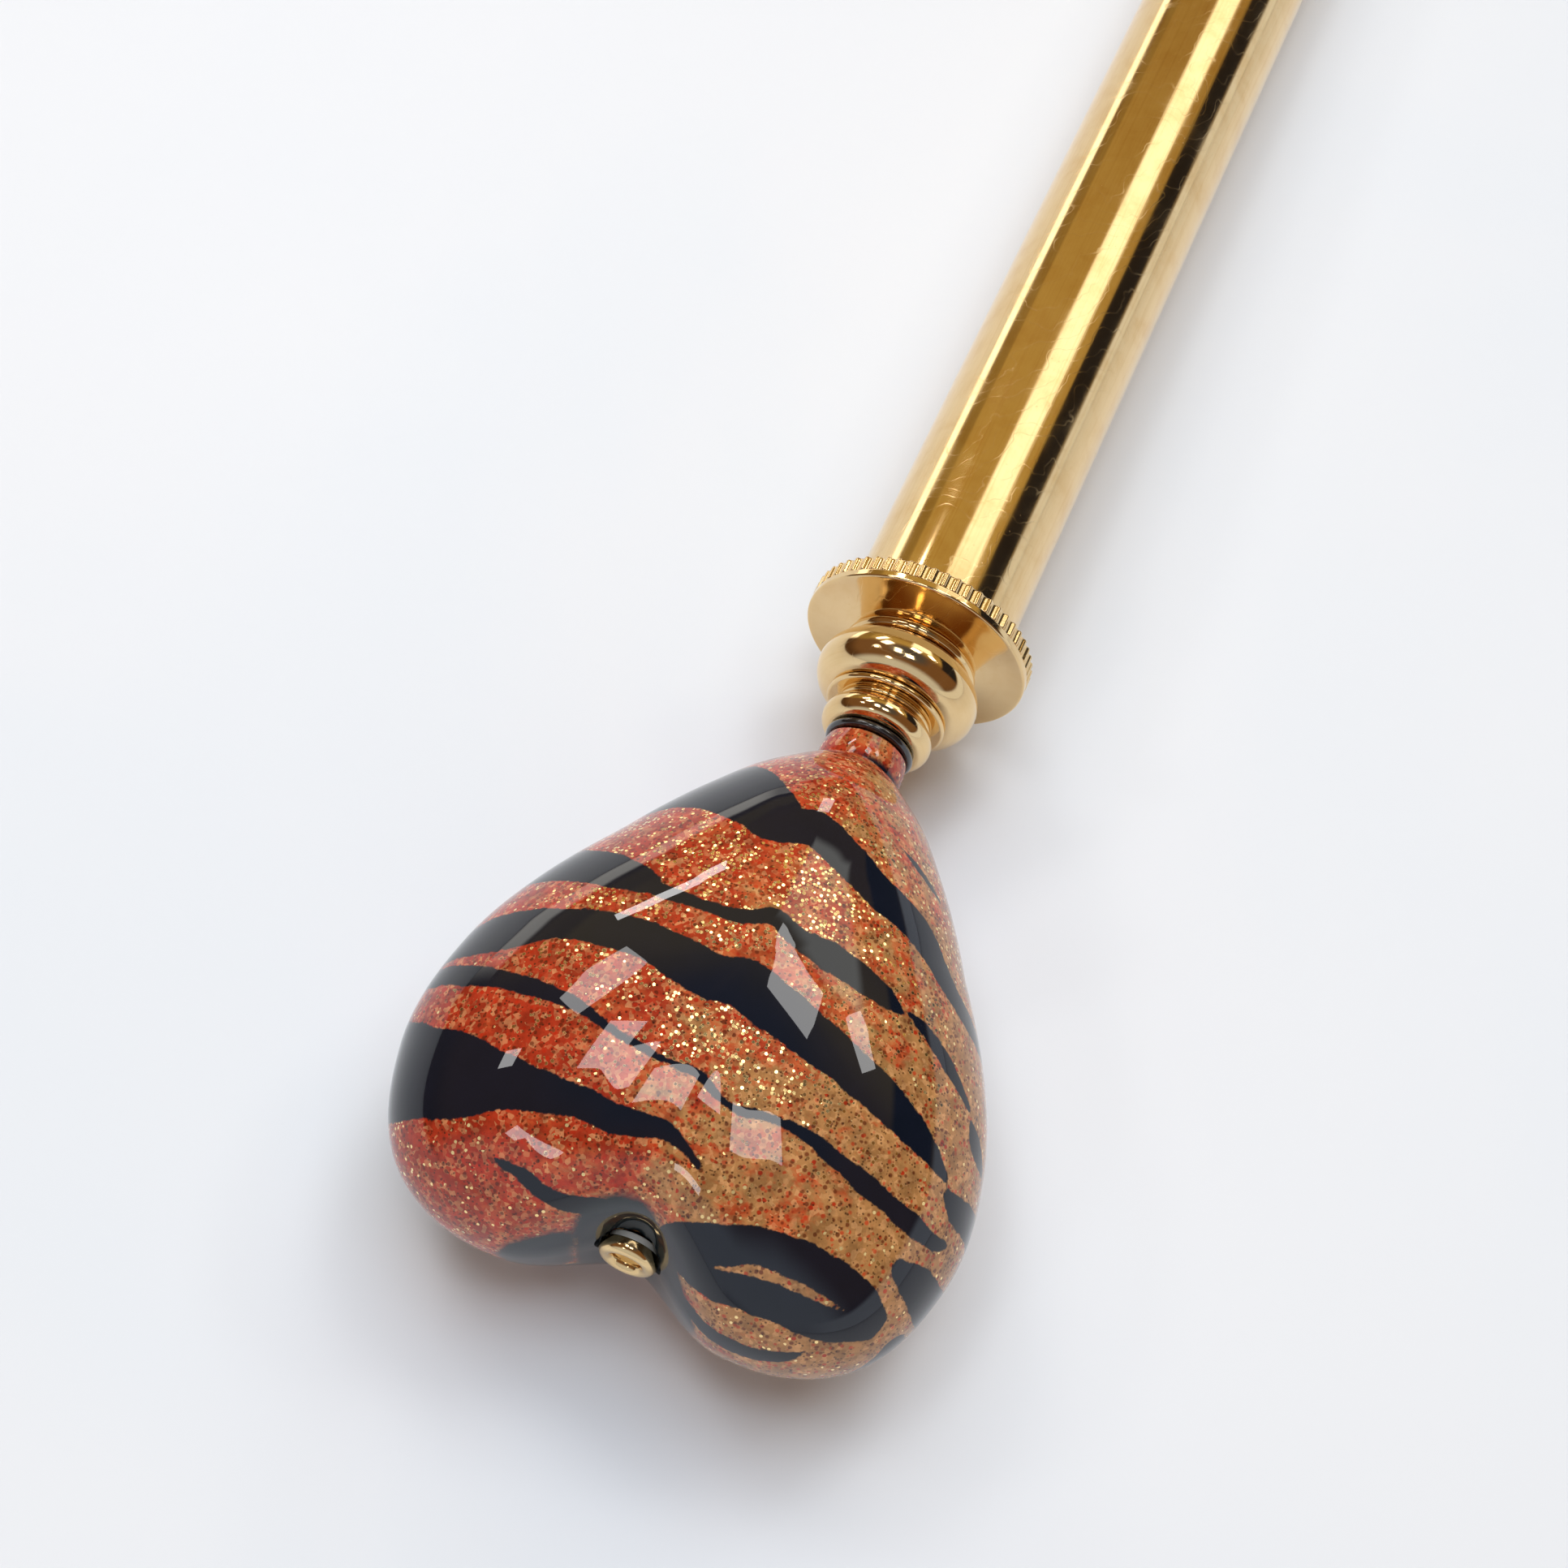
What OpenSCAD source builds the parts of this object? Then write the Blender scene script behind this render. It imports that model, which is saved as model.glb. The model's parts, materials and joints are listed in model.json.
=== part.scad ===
// Dip pen with a gold-plated barrel, a bead finial, a cased glass heart and a fluted glass nib.
//
// The pen is drawn along its own axis: x = 0 is the front face of the flange, +X runs down the barrel
// to the nib, and +Z is the face normal of the heart. laid() then lays it on the table, resting on the
// heart and on the lip of the grip section, with the origin under the middle of its bounding box.

/* [Barrel] */
// Outer diameter of the barrel tube
barrel_d = 9; // [8.6:0.1:9.4]
// Wall of the barrel tube
barrel_wall = 0.5; // [0.4:0.05:0.6]
// Length of the barrel tube
barrel_l = 85; // [60:1:110]
// Length of the plug at the finial end
plug_l = 9; // [7:0.5:14]
// Length of the threaded bush at the section end
bush_l = 9; // [9:0.5:14]

/* [Flange] */
// Radius of the flange
flange_r = 6.18; // [5.8:0.02:6.6]
// Thickness of the polished front disc, behind its face
disc_t = 0.45; // [0.35:0.05:0.6]
// Thickness of the milled ring
milled_t = 0.9; // [0.7:0.05:1.2]
// Number of notches in the milled ring
milled_n = 40; // [30:1:56]
// Radius of the shoulder at the foot of the cove
cove_foot_r = 3.3; // [3:0.05:3.5]
// Rise of the cove above the flange face
cove_rise = 0.45; // [0.3:0.05:0.5]

/* [Finial] */
// Radius of the tie rod
rod_r = 1.2; // [1.1:0.05:1.3]
// Radius of the large bead
large_bead_r = 4.45; // [4.2:0.05:4.7]
// Half width of the large bead
large_bead_half = 1.45; // [1.3:0.05:1.5]
// Radius of the small bead
small_bead_r = 3.03; // [2.8:0.01:3.2]
// Half width of the small bead
small_bead_half = 0.78; // [0.7:0.02:0.8]

/* [Heart] */
// Half thickness of the heart
heart_half_t = 8.6; // [8:0.1:9.2]
// Distance from the flange face to the thickest point of the heart
heart_back = 24; // [23.5:0.1:24.5]
// Radius of the glass neck
neck_r = 2.3; // [2.1:0.05:2.4]
// Radius of the screw head in the cleft
cap_r = 1.51; // [1.4:0.01:1.6]

/* [Grip section] */
// Length of the grip from its shoulder to the end of its lip
grip_l = 31; // [28:0.5:36]
// Radius of the lip that stops the fingers
lip_r = 4.35; // [4.2:0.05:4.45]
// Radius of the waist
waist_r = 3.85; // [3.7:0.05:4]
// Number of turned finger grooves
grip_grooves = 9; // [5:1:11]

/* [Nib] */
// Radius of the round glass shank
shank_r = 1.95; // [1.85:0.05:1.95]
// Largest radius of the fluted head
nib_r = 2.9; // [2.6:0.05:3.2]
// Length of the fluted head
nib_head_l = 23; // [20:0.5:28]
// Number of spiral flutes
flutes = 10; // [8:1:12]
// Turn of the flutes from the shoulder to the tip, in degrees
flute_turn = 150; // [90:10:240]

/* [Hidden] */
$fn = 96;

// Finishes
GOLD = "#d9a83c";
DARK_GOLD = "#b98a2c";
GLASS_RED = "#c2603a";
GLASS_CLEAR = "#cfe6ea";
BLACK = "#15161c";
SILICONE = "#d8d4c8";

// Fits: the running clearance of a turning piece, and the gap between faces that only just meet
run_gap = 0.08;
thread_gap = 0.05;
face_gap = 0.04;

// Stations along the axis, worked out from the flange to the tail
barrel_r = barrel_d / 2;
tube_r = barrel_r - barrel_wall;
collar_x = -cove_rise - face_gap;
collar_t = 0.58;
collar_r = 3.7;
large_bead_x = collar_x - collar_t - face_gap - large_bead_half;
ring_large_x = large_bead_x - large_bead_half - face_gap;
ring_large_t = 0.34;
ring_large_r = 3.3;
ring_small_x = ring_large_x - ring_large_t;
ring_small_t = 0.28;
ring_small_r = 2.6;
small_bead_x = ring_small_x - ring_small_t - face_gap - small_bead_half;
washer_x = small_bead_x - small_bead_half - face_gap;
washer_t = 0.45;
washer_r = 2.42;
neck_x = washer_x - washer_t - face_gap;
cleft_x = -36.3;
cap_x = cleft_x - 0.45;
cap_edge_t = 0.3;
cap_dome = 0.46;
screw_r = 0.7;
screw_l = 4.1;

// Stations from the flange to the nib
tube_x = disc_t + milled_t;
spigot_r = 3;
tube_end_x = tube_x + barrel_l;
nut_t = 2;
nut_across_corners = 4.62;
rod_end_x = tube_x + plug_l + nut_t + 1;
tenon_r = 3;
oring_minor = 0.42;
shoulder_x = tube_end_x + 2 * oring_minor + 2 * face_gap;
grip_x = shoulder_x + grip_l;
socket_r = 2.6;
front_spigot_r = 3.2;
front_spigot_l = 4;
nose_x = grip_x + face_gap;
nose_l = 9;
nose_hole_r = 2.45;
collet_x = grip_x - 15;
collet_r = 2.55;
collet_bore_r = 2.2;
collet_l = 22;
shank_x = collet_x + 3;
head_x = nose_x + nose_l + 2.5;
tip_x = head_x + nib_head_l;

// The lie of the pen on the table
lip_w = 0.8;
lip_x = grip_x - 2;
lie = atan((heart_half_t - lip_r) / (lip_x + lip_w + heart_back));
lift = (lip_x + lip_w) * sin(lie) + lip_r * cos(lie);
lobe_x = -39.46;
mid_x = (lobe_x + tip_x) / 2 * cos(lie);

module laid() {
    translate([-mid_x, 0, lift]) rotate([0, lie, 0]) children();
}

// A solid of revolution about the pen's axis, from a profile drawn as [radius, x]
module turned() {
    rotate([0, 90, 0]) rotate_extrude() children();
}

// A round bar along the axis, from x0 to x1
module bar(x0, x1, r) {
    translate([x0, 0, 0]) rotate([0, 90, 0]) cylinder(h = x1 - x0, r = r);
}

// A flat ring with a rounded rim, from x0 towards the tail
module rim_ring(x0, t, r, hole_r) {
    turned() {
        translate([hole_r, x0 - t]) square([r - t / 2 - hole_r, t]);
        intersection() {
            translate([r - t / 2, x0 - t / 2]) circle(r = t / 2);
            translate([hole_r, x0 - t]) square([r, t]);
        }
    }
}

// A bead: a round rim of radius half, with flat sides down to the hole
module round_bead(x, r, half, hole_r) {
    difference() {
        turned() {
            intersection() {
                translate([r - half, x]) circle(r = half);
                translate([0, x - half]) square([r, 2 * half]);
            }
            translate([hole_r / 2, x - half]) square([r - half - hole_r / 2, 2 * half]);
        }
        bar(x - half - 1, x + half + 1, hole_r);
    }
}

// ---- Finial ----

module end_cap() {
    color(GOLD) laid() {
        turned() {
            translate([0, cap_x - cap_edge_t]) square([cap_r, cap_edge_t]);
            // a shallow dome: the cap of a circle whose sagitta is cap_dome over the radius cap_r
            intersection() {
                dome_r = (cap_r * cap_r + cap_dome * cap_dome) / (2 * cap_dome);
                translate([0, cap_x - cap_edge_t - cap_dome + dome_r]) circle(r = dome_r);
                translate([0, cap_x - cap_edge_t - cap_dome]) square([cap_r, cap_dome + 0.01]);
            }
        }
        bar(cap_x - 0.01, cap_x + screw_l, screw_r);
    }
}

module cleft_washer() {
    color(SILICONE) laid() difference() {
        bar(cap_x + face_gap, cleft_x - face_gap, 1.25);
        bar(cap_x - 1, cleft_x + 1, screw_r + thread_gap);
    }
}

// Polar outline of the heart about its thickest point: radii at angles measured from the neck
heart_angles = [0, 15, 30, 45, 60, 80, 100, 120, 140, 160, 180];
heart_radii = [16.1, 14.6, 12.9, 11.9, 11.6, 12.4, 14.2, 16.5, 18, 16.4, 12.3];

function clamp_index(i) = min(max(i, 0), len(heart_radii) - 1);
// Mirrored ends give the outline a level tangent at the neck and at the cleft
function radius_at(i) = i < 0 ? heart_radii[1] : i > len(heart_radii) - 1
    ? heart_radii[len(heart_radii) - 2] : heart_radii[i];
function span_of(a) = max([for (i = [0 : len(heart_angles) - 2]) if (heart_angles[i] <= a) i]);
// Smooth curve through four neighbouring radii (Catmull-Rom)
function through(p0, p1, p2, p3, t) =
    p1 + t * (p2 - p0) / 2 + t * t * (p0 - 2.5 * p1 + 2 * p2 - p3 / 2)
    + t * t * t * (1.5 * (p1 - p2) + (p3 - p0) / 2);
function heart_radius(angle) =
    let (a = min(abs(angle), 180), i = span_of(a),
         t = (a - heart_angles[i]) / (heart_angles[i + 1] - heart_angles[i]))
    through(radius_at(i - 1), heart_radii[i], heart_radii[clamp_index(i + 1)], radius_at(i + 2), t);

heart_steps = 60;
heart_rows = 22;
// How much of the notch between the lobes is filled: none at the rim of the heart, all of it near the crown
function notch_fill(lat) = let (t = min(max((abs(lat) - 5) / 50, 0), 1)) t * t * (3 - 2 * t);
// Depth of the notch in the outline that the fill makes up, over the last 28 degrees on either side
function notch_depth(angle) =
    let (a = min(180 - abs(angle), 28)) 2.9 * (1 + cos(180 * a / 28)) / 2;
// A ring of the heart at latitude lat: the outline drawn in by the cosine, raised by the sine
function heart_ring(lat) = [
    for (k = [0 : heart_steps - 1])
    let (a = 360 * k / heart_steps - 180,
         r = (heart_radius(a) + notch_depth(a) * notch_fill(lat)) * pow(cos(lat), 0.91))
    [-heart_back + r * cos(a), r * sin(a), heart_half_t * sin(lat)]
];
function grid_faces(rows, steps) = [
    for (i = [0 : rows - 2]) for (k = [0 : steps - 1])
    let (a = i * steps + k, b = i * steps + (k + 1) % steps)
    each [[a, a + steps, b], [b, a + steps, b + steps]]
];
function fan_faces(ring_start, pole, steps, flip) = [
    for (k = [0 : steps - 1])
    let (a = ring_start + k, b = ring_start + (k + 1) % steps)
    flip ? [pole, b, a] : [pole, a, b]
];

module heart_body() {
    rings = [for (i = [1 : heart_rows - 1]) heart_ring(-90 + 180 * i / heart_rows)];
    points = concat([for (ring = rings) each ring],
                    [[-heart_back, 0, -heart_half_t], [-heart_back, 0, heart_half_t]]);
    low_pole = (heart_rows - 1) * heart_steps;
    polyhedron(
        points = points,
        faces = concat(grid_faces(heart_rows - 1, heart_steps),
                       fan_faces(0, low_pole, heart_steps, false),
                       fan_faces((heart_rows - 2) * heart_steps, low_pole + 1, heart_steps, true)),
        convexity = 4);
}

module glass_heart() {
    color(GLASS_RED) laid() difference() {
        union() {
            heart_body();
            bar(-10.5, neck_x, neck_r);
        }
        bar(-heart_back - 20, 0, rod_r + run_gap);
        // a flat seat ground into the cleft for the screw head
        bar(-heart_back - 20, cleft_x, cap_r + 0.2);
    }
}

module neck_washer() {
    color(BLACK) laid() rim_ring(washer_x, washer_t, washer_r, rod_r);
}

module small_bead() {
    color(GOLD) laid() round_bead(small_bead_x, small_bead_r, small_bead_half, rod_r + run_gap);
}

module ring_small() {
    color(GOLD) laid() rim_ring(ring_small_x, ring_small_t, ring_small_r, rod_r);
}

module ring_large() {
    color(GOLD) laid() rim_ring(ring_large_x, ring_large_t, ring_large_r, rod_r);
}

module large_bead() {
    color(GOLD) laid() round_bead(large_bead_x, large_bead_r, large_bead_half, rod_r + run_gap);
}

module bead_collar() {
    color(GOLD) laid() rim_ring(collar_x, collar_t, collar_r, rod_r);
}

module flange_cove() {
    // the cove is a shallow arc of a large circle, cut out of a stepped disc
    rim_bevel = 0.12;
    cove_edge_r = flange_r - 0.4;
    cove_w = cove_edge_r - cove_foot_r;
    cove_arc_r = (cove_w * cove_w + cove_rise * cove_rise) / (2 * cove_rise);
    color(GOLD) laid() difference() {
        turned() difference() {
            polygon([[0, disc_t], [flange_r, disc_t], [flange_r, rim_bevel], [flange_r - rim_bevel, 0],
                     [cove_edge_r, 0], [cove_foot_r, -cove_rise], [0, -cove_rise]]);
            translate([cove_edge_r, -cove_arc_r]) circle(r = cove_arc_r);
        }
        bar(-2, 2, rod_r);
    }
}

module milled_ring() {
    notch_r = 0.26;
    color(DARK_GOLD) laid() difference() {
        bar(disc_t, disc_t + milled_t, flange_r + 0.02);
        bar(0, 3, spigot_r);
        for (k = [0 : milled_n - 1])
            rotate([360 * k / milled_n, 0, 0]) translate([0, flange_r + 0.1, 0]) bar(0, 3, notch_r);
    }
}

module rear_plug() {
    color(DARK_GOLD) laid() difference() {
        union() {
            bar(tube_x, tube_x + plug_l, tube_r);
            bar(disc_t, tube_x + 0.01, spigot_r);
        }
        bar(0, tube_x + plug_l + 1, rod_r);
    }
}

module tie_rod() {
    color(DARK_GOLD) laid() difference() {
        bar(cleft_x + 0.3, rod_end_x, rod_r);
        bar(cleft_x - 1, cleft_x + screw_l + 0.6, screw_r + thread_gap);
    }
}

module rod_nut() {
    x = tube_x + plug_l;
    color(DARK_GOLD) laid() difference() {
        translate([x, 0, 0]) rotate([0, 90, 0]) cylinder(h = nut_t, d = nut_across_corners, $fn = 6);
        bar(x - 1, x + nut_t + 1, rod_r);
    }
}

// ---- Barrel ----

module barrel_tube() {
    color(GOLD) laid() difference() {
        bar(tube_x, tube_end_x, barrel_r);
        bar(tube_x - 1, tube_end_x + 1, tube_r);
    }
}

module front_bush() {
    color(DARK_GOLD) laid() difference() {
        bar(tube_end_x - bush_l, tube_end_x, tube_r);
        bar(tube_end_x - bush_l - 1, tube_end_x + 1, tenon_r + thread_gap);
    }
}

// ---- Grip section and nib ----

module section_o_ring() {
    color(BLACK) laid() turned()
        translate([tenon_r + 0.1 + oring_minor, tube_end_x + face_gap + oring_minor]) circle(r = oring_minor);
}

module grip_section() {
    groove_r = 0.3;
    first_groove_x = shoulder_x + 8;
    groove_pitch = (grip_l - 14) / (grip_grooves - 1);
    color(GOLD) laid() difference() {
        union() {
            turned() difference() {
                polygon([[0, shoulder_x], [barrel_r - 0.15, shoulder_x], [barrel_r - 0.03, shoulder_x + 0.12],
                         [barrel_r - 0.03, shoulder_x + 4], [waist_r, shoulder_x + 8],
                         [waist_r, grip_x - 6], [lip_r, lip_x], [lip_r, lip_x + lip_w],
                         [waist_r, grip_x], [0, grip_x]]);
                for (k = [0 : grip_grooves - 1])
                    translate([waist_r + 0.14, first_groove_x + k * groove_pitch]) circle(r = groove_r);
            }
            bar(tube_end_x - bush_l + 0.6, shoulder_x + 0.01, tenon_r);
            bar(grip_x - 0.01, grip_x + front_spigot_l, front_spigot_r);
        }
        bar(collet_x, grip_x + 10, socket_r);
    }
}

module collet() {
    slot_w = 0.4;
    color(DARK_GOLD) laid() difference() {
        bar(collet_x, collet_x + collet_l, collet_r);
        bar(collet_x + 1, collet_x + collet_l + 1, collet_bore_r);
        for (a = [0, 90])
            rotate([a, 0, 0]) translate([collet_x + 6, -slot_w / 2, -4]) cube([collet_l, slot_w, 8]);
    }
}

module nib_cushion() {
    color(SILICONE) laid() bar(collet_x + 1, shank_x - face_gap, collet_bore_r - thread_gap);
}

module nib_sleeve() {
    color(SILICONE) laid() difference() {
        bar(shank_x + 1, collet_x + collet_l - 0.5, collet_bore_r - thread_gap);
        bar(shank_x, collet_x + collet_l + 1, shank_r);
    }
}

module clamp_ring() {
    x = grip_x + front_spigot_l + 0.3;
    color(DARK_GOLD) laid() difference() {
        bar(x, x + 0.9, front_spigot_r - 0.1);
        bar(x - 1, x + 2, collet_r + run_gap);
    }
}

module nose_cone() {
    color(GOLD) laid() difference() {
        turned() polygon([[0, nose_x], [waist_r - 0.05, nose_x], [waist_r - 0.05, nose_x + 1.2],
                          [nose_hole_r + 0.45, nose_x + nose_l - 0.3], [nose_hole_r + 0.2, nose_x + nose_l],
                          [0, nose_x + nose_l]]);
        bar(nose_x - 1, nose_x + front_spigot_l + 1.4, front_spigot_r + thread_gap);
        turned() polygon([[0, nose_x + front_spigot_l + 1.39], [collet_r + 0.35, nose_x + front_spigot_l + 1.39],
                          [collet_r + 0.06, nose_x + front_spigot_l + 3.2], [0, nose_x + front_spigot_l + 3.2]]);
        bar(nose_x + 1, nose_x + nose_l + 1, nose_hole_r);
    }
}

nib_rows = 30;
nib_steps = 5 * flutes;
tip_r = 0.35;
// The head starts a little inside the shank and swells out through it
head_start_r = shank_r - 0.3;
swell_u = 0.22;
// Outer radius of the fluted head, from the shoulder (u = 0) to the tip (u = 1)
function head_radius(u) = u < swell_u
    ? head_start_r + (nib_r - head_start_r) * (1 - cos(180 * u / swell_u)) / 2
    : tip_r + (nib_r - tip_r) * pow(cos(90 * (u - swell_u) / (1 - swell_u)), 0.8);
// Share of the radius that a flute cuts away: none at the shoulder, most along the middle, little at the tip
function flute_depth(u) = 0.17 * sin(180 * min(max(u - 0.1, 0) * 1.8, 0.5)) * (1 - 0.7 * pow(u, 6));
function nib_ring(u) = [
    for (k = [0 : nib_steps - 1])
    let (a = 360 * k / nib_steps,
         r = head_radius(u) * (1 - flute_depth(u) * (0.5 + 0.5 * cos(flutes * a))),
         t = a + flute_turn * u)
    [head_x + nib_head_l * u, r * cos(t), r * sin(t)]
];

module glass_nib() {
    points = concat([for (i = [0 : nib_rows]) each nib_ring(i / nib_rows)],
                    [[head_x, 0, 0], [tip_x, 0, 0]]);
    back_pole = (nib_rows + 1) * nib_steps;
    color(GLASS_CLEAR) laid() union() {
        bar(shank_x, head_x + 1.2, shank_r);
        polyhedron(
            points = points,
            faces = concat(grid_faces(nib_rows + 1, nib_steps),
                           fan_faces(0, back_pole, nib_steps, false),
                           fan_faces(nib_rows * nib_steps, back_pole + 1, nib_steps, true)),
            convexity = 4);
    }
}

end_cap();
cleft_washer();
glass_heart();
neck_washer();
small_bead();
ring_small();
ring_large();
large_bead();
bead_collar();
flange_cove();
milled_ring();
rear_plug();
tie_rod();
rod_nut();
barrel_tube();
front_bush();
section_o_ring();
grip_section();
collet();
nib_cushion();
nib_sleeve();
clamp_ring();
nose_cone();
glass_nib();
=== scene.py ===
import json
from math import asin, cos, pi, radians, sin

import bpy
import numpy as np
from bpy.props import FloatProperty, FloatVectorProperty, IntProperty, PointerProperty
from mathutils import Matrix, Vector


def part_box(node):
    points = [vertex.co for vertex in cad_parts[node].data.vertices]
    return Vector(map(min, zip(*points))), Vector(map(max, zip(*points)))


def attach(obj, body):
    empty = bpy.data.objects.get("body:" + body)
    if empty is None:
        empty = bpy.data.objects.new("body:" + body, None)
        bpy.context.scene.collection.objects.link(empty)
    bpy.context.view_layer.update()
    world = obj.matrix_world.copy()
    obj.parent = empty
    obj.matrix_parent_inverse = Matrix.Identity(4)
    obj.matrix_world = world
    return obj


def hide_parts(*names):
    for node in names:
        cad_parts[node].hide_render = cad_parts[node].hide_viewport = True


bl_info = {
    "name": "Dip Pen With Glass Heart",
    "version": (1, 0, 0),
    "blender": (4, 5, 0),
    "location": "View3D > Sidebar > Dip Pen",
    "description": "Builds a gold-plated dip pen with a bead finial, a striped glass heart and a fluted glass nib",
    "category": "Add Mesh",
}

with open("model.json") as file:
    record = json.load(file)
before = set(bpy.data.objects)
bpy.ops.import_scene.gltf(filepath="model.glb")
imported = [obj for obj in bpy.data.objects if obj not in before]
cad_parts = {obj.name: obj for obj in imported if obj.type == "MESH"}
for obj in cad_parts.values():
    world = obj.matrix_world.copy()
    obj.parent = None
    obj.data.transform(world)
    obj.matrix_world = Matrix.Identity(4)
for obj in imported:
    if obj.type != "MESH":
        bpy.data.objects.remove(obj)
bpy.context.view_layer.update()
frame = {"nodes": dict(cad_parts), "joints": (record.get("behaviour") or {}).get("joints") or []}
MM = 0.001

# The pen's own axis: x = 0 is the flange face, +x runs to the nib, +z is the face of the heart.
# The heart turns on that axis at x = -24 mm, so its joint gives the axis and the origin.
HEART_X = -24.0
heart_joint = next(j for j in frame["joints"] if j["name"] == "heart_turn")
AXIS = -np.array(heart_joint["axis"])
AXIS = AXIS / np.linalg.norm(AXIS)
ORIGIN = np.array(heart_joint["pos_m"]) - HEART_X * MM * AXIS
LIE = asin(-AXIS[2])
UP = np.array((sin(LIE), 0.0, cos(LIE)))


def laid(points):
    """Pen millimetres to metres in the shared frame: the origin, plus x along the pen, y across it and z along
    the normal of the heart's face."""
    points = np.asarray(points, float)
    across = np.array((0.0, 1.0, 0.0))
    return ORIGIN + MM * (points[..., :1] * AXIS + points[..., 1:2] * across + points[..., 2:3] * UP)


def half_width(node):
    """Half of a CAD node's width across the pen, in metres."""
    low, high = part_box(node)
    return (high[1] - low[1]) / 2


# ---------------------------------------------------------------- settings


def length(label, default, low=0.0):
    return FloatProperty(name=label, description=label + ", in metres", default=default, min=low,
                         precision=5, unit="LENGTH", subtype="DISTANCE")


def share(label, default, high=1.0):
    return FloatProperty(name=label, description=label, default=default, min=0.0, max=high, subtype="FACTOR")


def tint(label, default):
    return FloatVectorProperty(name=label, description=label, default=default, min=0.0, max=1.0,
                               size=3, subtype="COLOR")


class BarrelSettings(bpy.types.PropertyGroup):
    radius: length("Outer radius of the barrel tube", half_width("barrel_tube"))
    wall: length("Wall of the barrel tube", 0.5 * MM)
    start: length("Distance from the flange face to the tube", 1.35 * MM)
    tube_length: length("Length of the tube", 85 * MM)
    gold: tint("Colour of the polished gold plate", (0.84, 0.62, 0.33))
    deep_gold: tint("Colour of the gold where it is worn or tarnished", (0.66, 0.38, 0.12))
    polish: share("Roughness of the polished plate", 0.07)


class FinialSettings(bpy.types.PropertyGroup):
    flange_radius: length("Radius of the flange disc", half_width("flange_cove"))
    milled_radius: length("Radius of the milled ring", half_width("milled_ring"))
    notches: IntProperty(name="Notches", description="Number of notches in the milled ring", default=58, min=12)
    large_bead_radius: length("Radius of the large bead", half_width("large_bead"))
    small_bead_radius: length("Radius of the small bead", half_width("small_bead"))
    black: tint("Colour of the glossy black ring at the glass neck", (0.006, 0.006, 0.008))


class HeartSettings(bpy.types.PropertyGroup):
    half_thickness: length("Half thickness of the heart", 8.577 * MM)
    neck_radius: length("Radius of the glass neck", 2.3 * MM)
    cap_radius: length("Radius of the screw head in the cleft", half_width("end_cap"))
    red: tint("Red glass", (0.43, 0.034, 0.010))
    orange: tint("Orange glass", (0.52, 0.082, 0.022))
    tan: tint("Golden tan glass", (0.43, 0.195, 0.062))
    stripe: tint("Dark glass of the stripes", (0.003, 0.0055, 0.011))
    # painted shade: this dark slate colour stands for the shade in the cleft between the lobes
    cleft: tint("Slate glass in the cleft", (0.008, 0.015, 0.020))
    glitter: tint("Copper and gold flakes in the glass", (1.0, 0.72, 0.30))
    glitter_size: FloatProperty(name="Flake size", description="Flakes per millimetre", default=5.2, min=1.0)


class NibSettings(bpy.types.PropertyGroup):
    shank_radius: length("Radius of the glass shank", 1.95 * MM)
    head_radius: length("Largest radius of the fluted head", half_width("glass_nib"))
    head_length: length("Length of the fluted head", 23 * MM)
    flutes: IntProperty(name="Flutes", description="Number of spiral flutes", default=10, min=6)
    turn: FloatProperty(name="Turn of the flutes", description="Turn from the shoulder to the tip",
                        default=radians(150), subtype="ANGLE")
    glass: tint("Tint of the clear glass", (0.93, 0.985, 0.975))


class StageSettings(bpy.types.PropertyGroup):
    camera_place: FloatVectorProperty(name="Camera", description="Place of the camera, in metres", size=3,
                                      default=(-0.1355, -0.0103, 0.1409), subtype="TRANSLATION", unit="LENGTH")
    aim: FloatVectorProperty(name="Aim", description="Point on the table that the camera looks at", size=3,
                             default=(-0.0629, 0.0040, 0.0), subtype="TRANSLATION", unit="LENGTH")
    roll: FloatProperty(name="Roll", description="Turn of the camera about its line of sight",
                        default=radians(-13.26), subtype="ANGLE")
    lens: FloatProperty(name="Lens", description="Focal length in millimetres on a 36 mm sensor", default=66.86)
    table: tint("Colour of the white table", (0.86, 0.865, 0.875))
    skylight: FloatProperty(name="Skylight", description="Power of the wide soft light over the table, in watts",
                            default=39.0, min=0.0)
    room: FloatProperty(name="Room light", description="Strength of the light from the room", default=1.0, min=0.0)


class PenSettings(bpy.types.PropertyGroup):
    barrel: PointerProperty(type=BarrelSettings)
    finial: PointerProperty(type=FinialSettings)
    heart: PointerProperty(type=HeartSettings)
    nib: PointerProperty(type=NibSettings)
    stage: PointerProperty(type=StageSettings)


def settings():
    return bpy.context.scene.dip_pen


# ---------------------------------------------------------------- shapes


def grid_quads(rows, steps, wrap_rows, wrap_steps):
    """Corner numbers of the quads between neighbouring points of a rows-by-steps grid."""
    row = np.arange(rows if wrap_rows else rows - 1)[:, None]
    step = np.arange(steps if wrap_steps else steps - 1)[None, :]
    next_row, next_step = (row + 1) % rows, (step + 1) % steps
    return np.stack([row * steps + step, row * steps + next_step,
                     next_row * steps + next_step, next_row * steps + step], -1).reshape(-1, 4)


def fan(ring, pole):
    """Triangles from each edge of a ring of point numbers to its pole."""
    return np.stack([np.roll(ring, -1), ring, np.full(len(ring), pole)], -1)


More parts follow.
